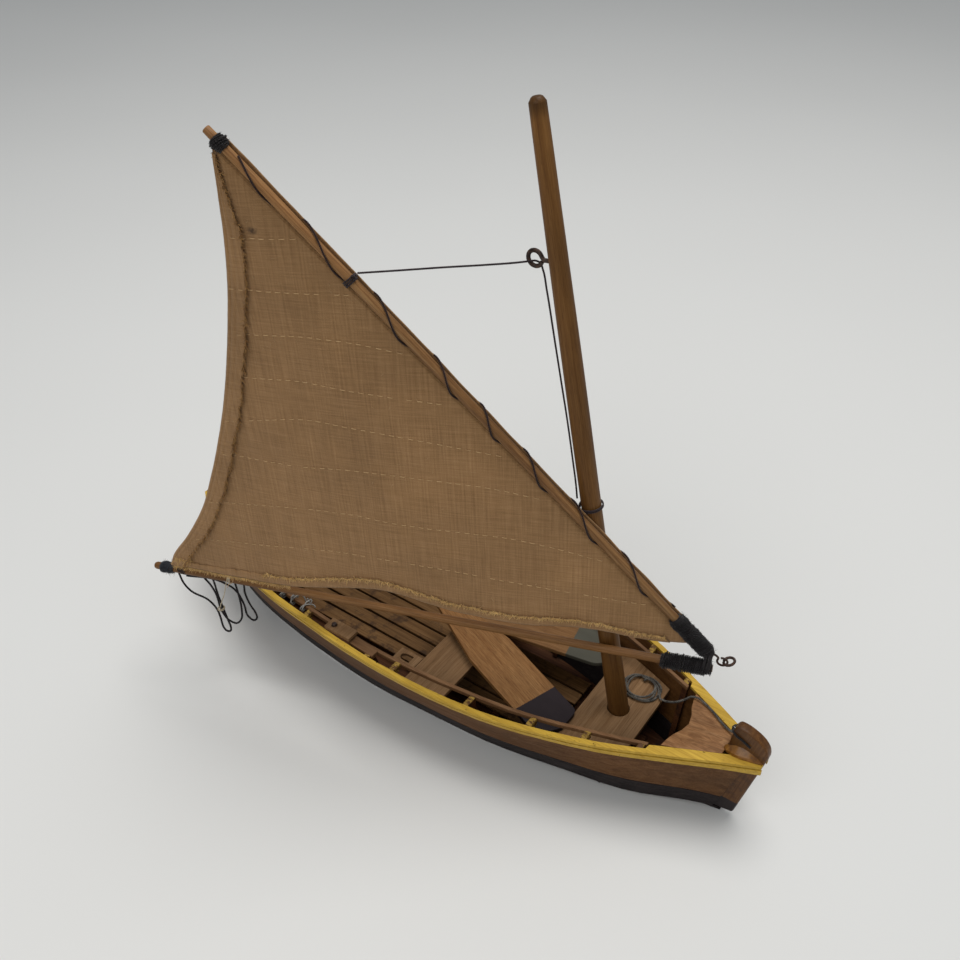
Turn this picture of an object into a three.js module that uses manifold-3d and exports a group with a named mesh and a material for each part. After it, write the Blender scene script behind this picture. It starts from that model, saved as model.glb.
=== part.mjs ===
// A handmade wooden boat with a lateen sail, at display size, with its stowed boards and cords.
// Millimetres. The origin is on the underside of the keel amidships: +X bow, +Y port, +Z up.
import * as THREE from 'three';
import { mergeVertices } from 'three/addons/utils/BufferGeometryUtils.js';
import Module from 'manifold-3d';

const wasm = await Module();
wasm.setup();

// ---- driving dimensions ----
const GAP = 0.3; // clearance left between touching pieces

// Hull lines: half-breadths at stations along the length.
const GUNWALE_HALF = [[-165, 18.8], [-145, 34], [-100, 50], [-50, 55.6], [0, 56.7], [50, 51.3],
  [96, 37.4], [130, 22], [150, 12], [167, 4.2]];
const CHINE_HALF = [[-158, 13], [-134, 25], [-91, 34.2], [-30, 39.2], [19, 36.6], [48, 33.8],
  [82, 26.6], [113, 19.3], [141, 7.4], [158, 2.6]];
const SHEER_LOWEST = 45.2;
const SHEER_LOWEST_X = 75;
const SHEER_CURVE = 1.96e-4;
const CHINE_Z = 3.6;
const BOTTOM_Z = 2.1; // underside of the bottom planking on the centreline
const WALE_Z = 15.6; // seam between the lower and the upper plank
const PLANK = 2.0; // plank thickness, measured across the boat
const PLANK_INSET = 0.6; // plank face inside the edge of the gunwale cap
const STATIONS = 34;

// Backbone.
const KEEL_WIDTH = 5;
const KEEL_DEPTH = 1.8;
const KEEL_AFT = -145;
const KEEL_FORWARD = 154;
const KEEL_FLAT_TO = 138;
const STEM_WIDTH = 5;
const TRANSOM_THICK = 2.6;

// Gunwale.
const CAP_WIDTH = 2.8;
const BOW_RAIL_WIDTH = 5.3;
const BOW_RAIL_AFT = 121.5;
const CAP_THICK = 1.5;
const STRAKE_DEPTH = 3;
const STRAKE_THICK = 1;
const INWALE_OFFSET = [[-155, 6], [-65, 7.8], [0, 9.5], [40, 10.5], [75, 9.3], [100, 8.5], [124, 6]];
const INWALE_WIDTH = 1.5;
const INWALE_DEPTH = 2.2;

// Inside the hull.
const RIB_X = [-84, -14.6, 42, 119];
const RIB_WIDTH = 3;
const THWART_TOP = 32.4;
const THWART_THICK = 2.4;
const SLAT_TOP = 11.8;
const SLAT_THICK = 1.6;
const SLAT_WIDTH = 7.5;
const SLAT_PITCH = 8.8;
const DECK_TOP = 46;
const DECK_THICK = 1.6;
const DECK_AFT = 126;
const DECK_FORWARD = 150.2;

// Mast: raked aft in the centre plane.
const MAST_FOOT = new THREE.Vector3(101.17, 0, 7.3);
const MAST_HEAD = new THREE.Vector3(39.6, 0, 306);
const MAST_RADII = [[0, 4.92], [25.6, 4.92], [153.8, 4.24], [203.3, 4.1], [256.1, 3.7], [302.5, 3.15]];
const EYE_CENTRE = new THREE.Vector3(41.1, 0, 248);

// The sail's plane is upright and turned out to starboard. Rig places are given as
// [aft along the boom's line, height, distance to starboard of the plane].
const TACK = new THREE.Vector3(134.4, 7.2, 0);
const SAIL_YAW = 17.34;
const YARD_W = -3.2;
const YARD_TACK = [1.5, 82.3];
const YARD_PEAK = [212.5, 290.8];
const YARD_RADII = [[0, 1.7], [20, 2], [200, 2], [290, 1.55]];
const BOOM_FRONT = [0, 78.15];
const BOOM_END = [283.5, 58.65];
const BOOM_RADIUS = 2;
const LASHING = 0.7;
const LUFF_DROP = 5.5;
const SAIL_THICK = 1;

// Cords.
const HALYARD_D = 0.7;
const LACING_D = 0.8;
const LACING_TURNS = 9;
const SHEET_D = 1.1;
const PAINTER_D = 1.2;

// ---- finishes ----
const WOOD_DARK = { color: 0x4a3524, roughness: 0.7 };
const WOOD_BLACK = { color: 0x26211d, roughness: 0.75 };
const WOOD_LIGHT = { color: 0x9a7350, roughness: 0.65 };
const WOOD_SPAR = { color: 0x8a5a34, roughness: 0.45 };
const WOOD_MAST = { color: 0xa97b45, roughness: 0.45 };
const WOOD_DECK = { color: 0xa27a56, roughness: 0.6 };
const PAINT_YELLOW = { color: 0xd8b23a, roughness: 0.55 };
const LINEN = { color: 0x9d7a4c, roughness: 0.95 };
const THREAD_BLACK = { color: 0x1d1a1b, roughness: 0.9 };
const CORD_GREY = { color: 0x55534f, roughness: 0.9 };
const CORD_TAN = { color: 0x8d7146, roughness: 0.9 };
const IRON = { color: 0x4a3428, roughness: 0.5, metalness: 0.8 };

// ---- general shapes ----

// A smooth function through [x, y] points, carried on straight past its ends.
function through(points) {
  const slopes = points.map((point, i) => {
    const before = points[Math.max(i - 1, 0)];
    const after = points[Math.min(i + 1, points.length - 1)];
    return (after[1] - before[1]) / (after[0] - before[0]);
  });
  return (x) => {
    let i = 0;
    while (i < points.length - 2 && x > points[i + 1][0]) i += 1;
    const [x0, y0] = points[i];
    const [x1, y1] = points[i + 1];
    const inside = Math.min(Math.max(x, points[0][0]), points[points.length - 1][0]);
    const w = x1 - x0;
    const t = (inside - x0) / w;
    const rise = t * t * (3 - 2 * t);
    const start = t * (1 - t) * (1 - t) * w * slopes[i];
    const finish = t * t * (t - 1) * w * slopes[i + 1];
    const edge = x < inside ? slopes[0] : slopes[slopes.length - 1];
    return y0 + (y1 - y0) * rise + start + finish + (x - inside) * edge;
  };
}

// Only positions, shared vertices merged, no empty triangles, faces outward.
function closed(source) {
  const bare = source.clone();
  bare.deleteAttribute('normal');
  bare.deleteAttribute('uv');
  const merged = mergeVertices(bare, 1e-4);
  const position = merged.getAttribute('position');
  const corner = (i) => new THREE.Vector3().fromBufferAttribute(position, i);
  const kept = [];
  let volume = 0;
  for (let i = 0; i < merged.index.count; i += 3) {
    const [a, b, c] = [0, 1, 2].map((k) => merged.index.getX(i + k));
    if (a !== b && b !== c && a !== c) {
      kept.push(a, b, c);
      volume += corner(a).dot(corner(b).cross(corner(c)));
    }
  }
  if (volume < 0) {
    for (let i = 0; i < kept.length; i += 3) [kept[i], kept[i + 1]] = [kept[i + 1], kept[i]];
  }
  merged.setIndex(kept);
  merged.computeVertexNormals();
  return merged;
}

// A closed body through sections. A section's second half runs back beside its first half.
function loft(sections) {
  const n = sections[0].length;
  const index = [];
  for (let s = 0; s < sections.length - 1; s += 1) {
    for (let i = 0; i < n; i += 1) {
      const a = s * n + i;
      const b = s * n + ((i + 1) % n);
      index.push(a, b, b + n, a, b + n, a + n);
    }
  }
  const last = (sections.length - 1) * n;
  for (let i = 0; i < n / 2 - 1; i += 1) {
    const j = n - 1 - i;
    index.push(i + 1, i, j - 1, j - 1, i, j);
    index.push(last + i, last + i + 1, last + j - 1, last + i, last + j - 1, last + j);
  }
  const geometry = new THREE.BufferGeometry();
  const numbers = sections.flat().flatMap((v) => v.toArray());
  geometry.setAttribute('position', new THREE.Float32BufferAttribute(numbers, 3));
  geometry.setIndex(index);
  return closed(geometry);
}

const point = (x, y, z) => new THREE.Vector3(x, y, z);

// A four-cornered section across the boat: outer low, outer high, inner high, inner low.
function crossSection(side, x, outerLow, outerHigh, innerHigh, innerLow, low, high) {
  return [
    point(x, side * outerLow, low),
    point(x, side * outerHigh, high),
    point(x, side * innerHigh, high),
    point(x, side * innerLow, low),
  ];
}

// Stations from one x to another, closer together near both ends.
function stationsBetween(from, to, count) {
  return Array.from({ length: count + 1 }, (_, k) => {
    const even = k / count;
    const eased = (1 - Math.cos(Math.PI * even)) / 2;
    return from + (to - from) * (even + eased) / 2;
  });
}

// A turned piece along a line, with [distance, radius] pairs for its outline.
function turned(from, to, outline, segments = 16) {
  const profile = outline.map(([d, r]) => new THREE.Vector2(r, d));
  const geometry = new THREE.LatheGeometry(profile, segments);
  const direction = to.clone().sub(from).normalize();
  const turn = new THREE.Quaternion().setFromUnitVectors(point(0, 1, 0), direction);
  geometry.applyQuaternion(turn);
  geometry.translate(from.x, from.y, from.z);
  return closed(geometry);
}

// A plain round rod between two points.
function rod(from, to, radius, segments = 16) {
  const length = from.distanceTo(to);
  return turned(from, to, [[0, 0], [0, radius], [length, radius], [length, 0]], segments);
}

// A cord or wire of round section along points.
function tube(points, diameter, steps) {
  const sides = 8;
  const outline = Array.from({ length: sides }, (_, k) => {
    const angle = 2 * Math.PI * k / sides;
    return new THREE.Vector2(diameter / 2 * Math.cos(angle), diameter / 2 * Math.sin(angle));
  });
  const route = new THREE.CatmullRomCurve3(points, false, 'centripetal');
  return closed(new THREE.ExtrudeGeometry(new THREE.Shape(outline), { steps, extrudePath: route }));
}

// A flat outline in x and y, pushed up by a thickness, with optional holes.
function plate(points, thickness, bottom, holes = []) {
  const shape = new THREE.Shape(points.map(([x, y]) => new THREE.Vector2(x, y)));
  holes.forEach((hole) => {
    shape.holes.push(new THREE.Path(hole.map(([x, y]) => new THREE.Vector2(x, y))));
  });
  const geometry = new THREE.ExtrudeGeometry(shape, { depth: thickness, bevelEnabled: false });
  geometry.translate(0, 0, bottom);
  return closed(geometry);
}

function solid(geometry) {
  const clean = closed(geometry);
  return new wasm.Manifold(new wasm.Mesh({
    numProp: 3,
    vertProperties: clean.getAttribute('position').array,
    triVerts: new Uint32Array(clean.index.array),
  }));
}

function surface(body) {
  const mesh = body.getMesh();
  const geometry = new THREE.BufferGeometry();
  geometry.setAttribute('position', new THREE.Float32BufferAttribute(mesh.vertProperties, 3));
  geometry.setIndex(Array.from(mesh.triVerts));
  geometry.computeVertexNormals();
  return geometry;
}

const cut = (geometry, tool) => surface(solid(geometry).subtract(solid(tool)));
const join = (geometry, other) => surface(solid(geometry).add(solid(other)));

const boat = new THREE.Group();

function add(name, geometry, look) {
  const mesh = new THREE.Mesh(geometry, new THREE.MeshStandardMaterial(look));
  mesh.name = name;
  boat.add(mesh);
  return mesh;
}

const SIDES = [['starboard', -1], ['port', 1]];

// ---- hull lines ----
const gunwaleHalf = through(GUNWALE_HALF);
const chineHalf = through(CHINE_HALF);
const inwaleOffset = through(INWALE_OFFSET);
const sheer = (x) => SHEER_LOWEST + SHEER_CURVE * (x - SHEER_LOWEST_X) ** 2;

function chineRise(x) {
  if (x > 110) return 2.2 * ((x - 110) / 48) ** 2;
  if (x < -110) return 4.5 * ((x + 110) / 50) ** 2;
  return 0;
}

const chineZ = (x) => CHINE_Z + chineRise(x);

// Half-breadth of the planking's outer face.
function hullHalf(x, z) {
  const low = chineHalf(x);
  const high = gunwaleHalf(x) - PLANK_INSET;
  return low + (high - low) * (z - chineZ(x)) / (sheer(x) - chineZ(x));
}

const transomAft = (z) => -158.4 - 0.1375 * (z - 8);
const plankAft = (z) => transomAft(z) + TRANSOM_THICK + GAP;
const plankForward = (z) => 150.3 + 0.282 * (z - 5);

// ---- hull ----
function keel() {
  const floorAt = (x) => (x < KEEL_FLAT_TO ? 0 : 4.5 * ((x - KEEL_FLAT_TO) / 21) ** 2);
  const half = KEEL_WIDTH / 2;
  const stations = [KEEL_AFT, -120, -60, 0, 60, 110, 125, KEEL_FLAT_TO, 142, 146, 150, KEEL_FORWARD];
  return loft(stations.map((x) => {
    const foot = floorAt(x);
    const top = KEEL_DEPTH + Math.max(chineRise(x), 0) * (x > 0 ? 1 : 0);
    return [point(x, -half, foot), point(x, half, foot), point(x, half, top), point(x, -half, top)];
  }));
}

function stemPost() {
  const outline = new THREE.Shape();
  outline.moveTo(144.6, 3.6);
  outline.lineTo(154.3, 4.2);
  outline.lineTo(159.6, 5.4);
  outline.lineTo(168.6, 50.9);
  outline.bezierCurveTo(168.6, 55.5, 165.5, 59, 160.3, 60.8);
  outline.quadraticCurveTo(156.5, 62.3, 153.6, 61.8);
  outline.quadraticCurveTo(151.9, 61.2, 151.6, 58);
  outline.lineTo(150.6, 46);
  outline.lineTo(144.6, 12);
  const settings = { depth: STEM_WIDTH, bevelEnabled: false, curveSegments: 8 };
  const geometry = new THREE.ExtrudeGeometry(outline, settings);
  geometry.rotateX(Math.PI / 2);
  geometry.translate(0, STEM_WIDTH / 2, 0);
  return closed(geometry);
}

function transom() {
  const widest = 18.3;
  const foot = chineZ(-158);
  const footHalf = 12.6;
  const corner = 54.6;
  const crown = 3;
  return loft(Array.from({ length: 17 }, (_, k) => {
    const y = widest * (k / 8 - 1);
    const out = Math.max(Math.abs(y) - footHalf, 0) / (18.8 - footHalf);
    const low = foot + (corner - foot) * out;
    const high = corner + crown * (1 - (y / widest) ** 2) + 1.2;
    return [
      point(transomAft(low), y, low),
      point(transomAft(high), y, high),
      point(transomAft(high) + TRANSOM_THICK, y, high),
      point(transomAft(low) + TRANSOM_THICK, y, low),
    ];
  }));
}

function bottomPanel() {
  const across = [-1, -0.5, 0, 0.5, 1];
  return loft(stationsBetween(-155, 143, STATIONS).map((x) => {
    const half = chineHalf(x) - PLANK - GAP;
    const under = across.map((f) => {
      const z = BOTTOM_Z + chineRise(x) + (CHINE_Z - BOTTOM_Z) * f * f;
      return point(x, f * half, z);
    });
    const over = under.map((p) => point(p.x, p.y, p.z + PLANK - 0.2)).reverse();
    return [...under, ...over];
  }));
}

// A side plank between two heights, which may change along the boat.
function sidePlank(side, lowAt, highAt) {
  return loft(stationsBetween(0, 1, STATIONS).map((u) => {
    const along = (z) => plankAft(z) + (plankForward(z) - plankAft(z)) * u;
    const low = lowAt(along(10));
    const high = highAt(along(50));
    const outerLow = hullHalf(along(low), low);
    const outerHigh = hullHalf(along(high), high);
    return [
      point(along(low), side * outerLow, low),
      point(along(high), side * outerHigh, high),
      point(along(high), side * (outerHigh - PLANK), high),
      point(along(low), side * (outerLow - PLANK), low),
    ];
  }));
}

function gunwaleCap(side) {
  const section = (x, width) => {
    const outer = gunwaleHalf(x);
    const inner = Math.max(outer - width, STEM_WIDTH / 2 + GAP);
    return crossSection(side, x, outer, outer, inner, inner, sheer(x) - CAP_THICK, sheer(x));
  };
  const narrow = stationsBetween(-162, BOW_RAIL_AFT, 26).map((x) => section(x, CAP_WIDTH));
  const wide = stationsBetween(BOW_RAIL_AFT + 0.4, 163.4, 8).map((x) => section(x, BOW_RAIL_WIDTH));
  return loft([...narrow, ...wide]);
}

function rubStrake(side) {
  return loft(stationsBetween(-161.5, 161.5, STATIONS).map((x) => {
    const high = sheer(x) - CAP_THICK - 0.6;
    const low = high - STRAKE_DEPTH;
    const faceLow = hullHalf(x, low) + GAP;
    const faceHigh = hullHalf(x, high) + GAP;
    const outerLow = faceLow + STRAKE_THICK;
    const outerHigh = faceHigh + STRAKE_THICK;
    return crossSection(side, x, outerLow, outerHigh, faceHigh, faceLow, low, high);
  }));
}

const inwaleCentre = (x) => gunwaleHalf(x) - inwaleOffset(x);

function inwale(side) {
  return loft(stationsBetween(-158, 121, 26).map((x) => {
    const outer = inwaleCentre(x) + INWALE_WIDTH / 2;
    const inner = outer - INWALE_WIDTH;
    const high = sheer(x) - 0.3;
    return crossSection(side, x, outer, outer, inner, inner, high - INWALE_DEPTH, high);
  }));
}

function rib(side, centre) {
  const levels = [0, 0.35, 0.7, 0.92, 1];
  return loft([-RIB_WIDTH / 2, RIB_WIDTH / 2].map((dx) => {
    const x = centre + dx;
    const low = 6.5;
    const high = sheer(x) - 0.4;
    const heights = levels.map((f) => low + (high - low) * f);
    const outer = heights.map((z) => hullHalf(x, z) - PLANK - GAP);
    const headInner = inwaleCentre(x) + INWALE_WIDTH / 2 + GAP;
    const inner = levels.map((f, i) => (f > 0.9 ? headInner : outer[i] - RIB_WIDTH));
    const out = heights.map((z, i) => point(x, side * outer[i], z));
    const back = heights.map((z, i) => point(x, side * inner[i], z)).reverse();
    return [...out, ...back];
  }));
}

// A seat board that fits between the planks.
function thwart(aft, forward) {
  const bottom = THWART_TOP - THWART_THICK;
  return loft(stationsBetween(aft, forward, 5).map((x) => {
    const half = hullHalf(x, bottom) - PLANK - GAP;
    return [
      point(x, -half, bottom),
      point(x, half, bottom),
      point(x, half, THWART_TOP),
      point(x, -half, THWART_TOP),
    ];
  }));
}

// ---- mast ----
const mastDirection = MAST_HEAD.clone().sub(MAST_FOOT).normalize();
const mastAt = (z) => MAST_FOOT.clone().addScaledVector(mastDirection, (z - MAST_FOOT.z) / mastDirection.z);

// The round hole that a piece needs to clear the mast.
function mastClearance(fromDistance, toDistance) {
  const start = MAST_FOOT.clone().addScaledVector(mastDirection, fromDistance);
  const end = MAST_FOOT.clone().addScaledVector(mastDirection, toDistance);
  return rod(start, end, MAST_RADII[0][1] + GAP, 24);
}

function mast() {
  const length = MAST_FOOT.distanceTo(MAST_HEAD);
  const dome = [[length - 0.8, 2.4], [length, 0]];
  const body = turned(MAST_FOOT, MAST_HEAD, [[0, 0], ...MAST_RADII, ...dome], 24);
  const holeRadius = 0.85 + GAP;
  const axis = mastAt(EYE_CENTRE.z + 1);
  return cut(body, rod(point(EYE_CENTRE.x, 0, EYE_CENTRE.z - 1.2), axis, holeRadius, 12));
}

function mastStep() {
  const half = 9;
  const foot = 4.5;
  const top = 10.5;
  const block = loft([93.5, 109].map((x) => (
    [point(x, -half, foot), point(x, half, foot), point(x, half, top), point(x, -half, top)])));
  return cut(block, mastClearance(-GAP, 20));
}

// The screw eye in the mast's aft side: a wire ring in the centre plane, on a shank.
function halyardEye() {
  const ring = new THREE.TorusGeometry(3.05, 0.9, 10, 24);
  ring.rotateX(Math.PI / 2);
  ring.translate(EYE_CENTRE.x, EYE_CENTRE.y, EYE_CENTRE.z);
  const inMast = mastAt(EYE_CENTRE.z + 1);
  const outside = point(EYE_CENTRE.x, 0, EYE_CENTRE.z - 1.2);
  const along = inMast.clone().sub(outside).normalize();
  const start = outside.clone().addScaledVector(along, 3);
  const end = inMast.clone().addScaledVector(along, -GAP);
  return join(ring, rod(start, end, 0.85, 10));
}

// ---- rig ----
const yaw = THREE.MathUtils.degToRad(SAIL_YAW);
const aftward = point(-Math.cos(yaw), -Math.sin(yaw), 0);
const outward = point(Math.sin(yaw), -Math.cos(yaw), 0);

function rig(along, height, out = 0) {
  const place = TACK.clone().addScaledVector(aftward, along).addScaledVector(outward, out);
  return point(place.x, place.y, height);
}

const yardTack = rig(YARD_TACK[0], YARD_TACK[1], YARD_W);
const yardPeak = rig(YARD_PEAK[0], YARD_PEAK[1], YARD_W);
const yardDirection = yardPeak.clone().sub(yardTack).normalize();
const yardLength = yardTack.distanceTo(yardPeak);
const yardRadius = through(YARD_RADII);
const boomFront = rig(...BOOM_FRONT);
const boomEnd = rig(...BOOM_END);
const onYard = (distance) => yardTack.clone().addScaledVector(yardDirection, distance);

function yard() {
  const body = turned(yardTack, yardPeak, [[0, 0], ...YARD_RADII, [yardLength, 1], [yardLength, 0]]);
  return cut(body, rod(onYard(-1), onYard(4.4), 0.55 + GAP, 12));
}

function boom() {
  const length = boomFront.distanceTo(boomEnd);
  return turned(boomFront, boomEnd, [[0, 0], [0, 1.7], [3, BOOM_RADIUS], [length - 1, BOOM_RADIUS],
    [length, 1.6], [length, 0]]);
}

// A thread lashing as a sleeve round a spar, from one distance to another along it.
function lashing(start, end, from, to, sparRadius) {
  const inner = sparRadius + GAP;
  const outer = inner + LASHING;
  return turned(start, end, [[from, inner], [from, outer - 0.2], [from + 1, outer], [to - 1, outer],
    [to, outer - 0.2], [to, inner], [from, inner]]);
}

// The wire eye at the yard's forward end, and the loose ring linked through it.
const linkCentre = onYard(-3.7);
const ringLean = 21.4; // degrees that the loose ring's centre lies above level, ahead of the link
const ringHeading = aftward.clone().multiplyScalar(-Math.cos(THREE.MathUtils.degToRad(ringLean)))
  .add(point(0, 0, Math.sin(THREE.MathUtils.degToRad(ringLean))));
const ringCentre = linkCentre.clone().addScaledVector(ringHeading, 3);

function wireRing(centre, normal, radius, wire) {
  const ring = new THREE.TorusGeometry(radius, wire, 8, 20);
  ring.applyQuaternion(new THREE.Quaternion().setFromUnitVectors(point(0, 0, 1), normal));
  ring.translate(centre.x, centre.y, centre.z);
  return ring;
}

function tackLink() {
  const ring = wireRing(linkCentre, outward, 2.2, 0.55);
  return join(ring, rod(onYard(-1.6), onYard(4), 0.55, 10));
}

function tackRing() {
  const normal = ringHeading.clone().cross(outward).normalize();
  return closed(wireRing(ringCentre, normal, 2.4, 0.75));
}

// The sail: edges in the rig's plane, with the foot loose above the boom's middle.
const leechAt = through([[62, 270.5], [71.1, 270.3], [85.9, 257.8], [107.8, 244.5], [122.6, 238.4],
  [149.8, 229.1], [196.9, 216.6], [226.8, 210], [249.6, 208.4], [278, 205.5]]);
const footRise = through([[12, 0], [57.5, 8.3], [85.3, 7.1], [127.6, 6.9], [154.9, 13.5], [175.8, 10.6],
  [203.1, 5.8], [231.7, 1.5], [270.5, 0]]);
const SAIL_TACK_A = 12;
const SAIL_PEAK_A = 205.5;
const CLEW_Z = 62;
const SAIL_ROWS = 18;
const SAIL_COLUMNS = 15;

const yardHeight = (a) => YARD_TACK[1] + (YARD_PEAK[1] - YARD_TACK[1]) * (a - YARD_TACK[0])
  / (YARD_PEAK[0] - YARD_TACK[0]);

// A place on the sail: v runs from the foot to the peak, u from the luff to the leech.
function sailPoint(u, v, side) {
  const luffA = SAIL_TACK_A + (SAIL_PEAK_A - SAIL_TACK_A) * v;
  const luffZ = yardHeight(luffA) - LUFF_DROP;
  const leechZ = CLEW_Z + (yardHeight(SAIL_PEAK_A) - LUFF_DROP - CLEW_Z) * v;
  const a = luffA + (leechAt(leechZ) - luffA) * u;
  const z = luffZ + (leechZ - luffZ) * u + footRise(a) * (1 - v) ** 8 * Math.min(1, 8 * u);
  const leechW = 3.4 + (YARD_W - 3.4) * v;
  const belly = 5.5 * Math.sin(Math.PI * u) * (1 - v);
  const w = YARD_W + (leechW - YARD_W) * (1 - (1 - u) ** 2) + belly;
  return rig(a, z, w + side * SAIL_THICK / 2);
}

function sail() {
  return loft(Array.from({ length: SAIL_ROWS }, (_, row) => {
    const v = 0.97 * row / (SAIL_ROWS - 1);
    const columns = Array.from({ length: SAIL_COLUMNS }, (__, k) => k / (SAIL_COLUMNS - 1));
    const front = columns.map((u) => sailPoint(u, v, 1));
    const back = columns.map((u) => sailPoint(u, v, -1)).reverse();
    return [...front, ...back];
  }));
}

// The cord that laces the sail's head to the yard, round and round along it.
function yardLacing() {
  const from = 33;
  const to = 281;
  const perTurn = 8;
  const count = LACING_TURNS * perTurn;
  const up = point(0, 0, 1).addScaledVector(yardDirection, -yardDirection.z).normalize();
  const across = yardDirection.clone().cross(up);
  const points = Array.from({ length: count + 1 }, (_, k) => {
    const distance = from + (to - from) * k / count;
    const angle = 2 * Math.PI * k / perTurn;
    const radius = yardRadius(distance) + GAP + LACING_D / 2;
    const place = onYard(distance);
    place.addScaledVector(up, radius * Math.cos(angle));
    place.addScaledVector(across, radius * Math.sin(angle));
    return place;
  });
  return tube(points, LACING_D, count);
}

// ---- cords ----
// From the hitch on the yard, through the mast's eye and down behind the mast to the yard's crossing.
const HALYARD_ROUTE = [[-15.8, -35.1, 240], [-2, -26.6, 241.6], [12, -18, 243.3], [26, -9.6, 244.9],
  [35.5, -4, 246.2], [39.2, -1.6, 246.8], [41.2, 0.2, 246.9], [42.3, 1.5, 245.9], [43.2, 2.3, 243],
  [45.2, 2.4, 235], [50, 2, 215], [54, 1.6, 198.5], [58, 1.2, 182], [61.7, 0.6, 166], [65.2, -0.2, 150.5],
  [66.1, -0.7, 146.6]];

// Loops of the sheet under the boom's aft end: [aft, height, starboard] in the sail's plane.
const SHEET_ROUTE = [[270.4, 57, 0], [269.9, 53.5, 0], [268.8, 49, 0], [265.9, 45.4, 0], [261, 43.9, 0],
  [255.6, 41.6, 0], [251.8, 37.6, 0.4], [250.2, 31.5, 0.8], [249.6, 25.6, 0.8], [247.6, 22, 0.8],
  [245.1, 24.6, 0.8],
  [246.2, 30.6, 0.6], [248.6, 37.6, -0.6], [250.9, 45.6, -1.7], [251.7, 52.4, -2.6], [253.6, 58.4, -3.4],
  [257.3, 60, -3.6], [259.3, 56.6, -3.2], [254.6, 53.6, -1.6], [250.4, 49.6, 0], [249, 44.4, 0.6],
  [247.5, 38, 1.8], [244.4, 32.4, 2], [240.2, 31.3, 1.9], [236.9, 35.2, 1.7], [235.6, 41.6, 1.5],
  [236, 49, 1],
  [238.6, 55.4, -1.4], [240.4, 60, -3.4], [237.2, 62.6, -3.6], [234.6, 59, -3.5], [235.4, 51.6, -2.8],
  [233.8, 43.4, -2.4], [230.6, 37.6, -2], [230.4, 33.4, -1.7], [233.4, 36.4, -1.1], [234.8, 44.6, -0.5],
  [237.8, 54.4, -0.3], [245.4, 57.7, -0.2], [265.6, 56.6, 0.3]];

// From the coil on the mast thwart, over the foredeck's port edge to the stem head.
const PAINTER_ROUTE = [[110.1, 15.3, 33.7], [112.4, 14.7, 34.4], [115.4, 13.7, 36.6], [119.4, 12.7, 40.4],
  [122.8, 13.1, 44], [125.2, 14.1, 46.6], [128, 14.6, 47.4], [132.6, 13.6, 47.1], [136.4, 12, 47.1],
  [140, 10, 47.1], [144.2, 7.6, 47.1], [147.8, 6.1, 47.3], [150.4, 5.1, 48.6], [152, 4.3, 50.8],
  [153.8, 3.8, 52.4]];
const COIL_CENTRE = [99.5, 16.2];

const placed = (list) => list.map((p) => point(...p));

function painterCoil() {
  const low = THWART_TOP + GAP;
  const profile = [[5.6, 0], [9.6, 0], [10, 0.5], [10, 1.9], [9.4, 2.4], [6.2, 2.4], [5.6, 1.9], [5.6, 0]];
  const ring = new THREE.LatheGeometry(profile.map(([r, z]) => new THREE.Vector2(r, z)), 24);
  ring.rotateX(Math.PI / 2);
  ring.translate(COIL_CENTRE[0], COIL_CENTRE[1], low);
  return closed(ring);
}

// ---- smaller fittings ----
function foredeck() {
  const aftEdge = [[DECK_AFT, -17.8], [126.6, -14], [127.8, -9.4], [129.8, -5.2], [131, 0], [129.8, 5.2],
    [127.8, 9.4], [126.6, 14], [DECK_AFT, 17.8]];
  const sideAt = (x) => gunwaleHalf(x) - BOW_RAIL_WIDTH - GAP;
  const xs = [132, 138, 144, DECK_FORWARD];
  const port = xs.map((x) => [x, sideAt(x)]);
  const starboard = xs.map((x) => [x, -sideAt(x)]).reverse();
  return plate([...aftEdge, ...port, ...starboard], DECK_THICK, DECK_TOP - DECK_THICK);
}

// The block beside the gunwale that a thole pin stands in.
const PIN_PLACE = [-38.1, 49.8];
const PIN_RADIUS = 1.2;

function rowlockBlock(side) {
  const bottom = 47.9;
  const outline = [[-42, 46.2], [-26, 46.2], [-26, 53], [-42, 53]];
  const block = plate(outline.map(([x, y]) => [x, side * y]), 2, bottom);
  const below = point(PIN_PLACE[0], side * PIN_PLACE[1], 45);
  const above = point(PIN_PLACE[0], side * PIN_PLACE[1], 55);
  return cut(block, rod(below, above, PIN_RADIUS + GAP, 16));
}

function tholePin(side) {
  const foot = point(PIN_PLACE[0], side * PIN_PLACE[1], 46.6);
  const head = point(PIN_PLACE[0], side * PIN_PLACE[1], 54);
  const outline = [[0, 0], [0, 0.9], [0.5, PIN_RADIUS], [6.6, PIN_RADIUS], [7.4, 0.7], [7.4, 0]];
  return turned(foot, head, outline, 14);
}

// A small plate behind the middle thwart with an arched opening.
function thwartBracket(side) {
  const arch = Array.from({ length: 9 }, (_, k) => {
    const angle = Math.PI * k / 8;
    return [-6.5 - 3.4 * Math.sin(angle), 33.7 - 2.2 * Math.cos(angle)];
  });
  const mirrored = (list) => list.map(([x, y]) => [x, side * y]);
  const outline = [[-12.4, 29.5], [0.9, 29.5], [0.9, 38], [-12.4, 38]];
  return plate(mirrored(outline), 1.8, 30.4, [mirrored([...arch, [-3.4, 35.9], [-3.4, 31.5]])]);
}

// A leeboard lying flat: [along, across] outline with its painted tip forward and its tapered head aft.
function leeboard(tip, head) {
  const half = [...tip, [-36.5, 12], ...head];
  const starboard = half.map(([u, v]) => [u, -v]);
  const port = half.slice(1).reverse();
  return plate([...starboard, ...port], 2.5, 0);
}

function placeBoard(mesh, x, y, z, heading, tilt) {
  mesh.position.set(x, y, z);
  mesh.rotation.set(0, THREE.MathUtils.degToRad(tilt), THREE.MathUtils.degToRad(heading), 'ZYX');
}

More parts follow.
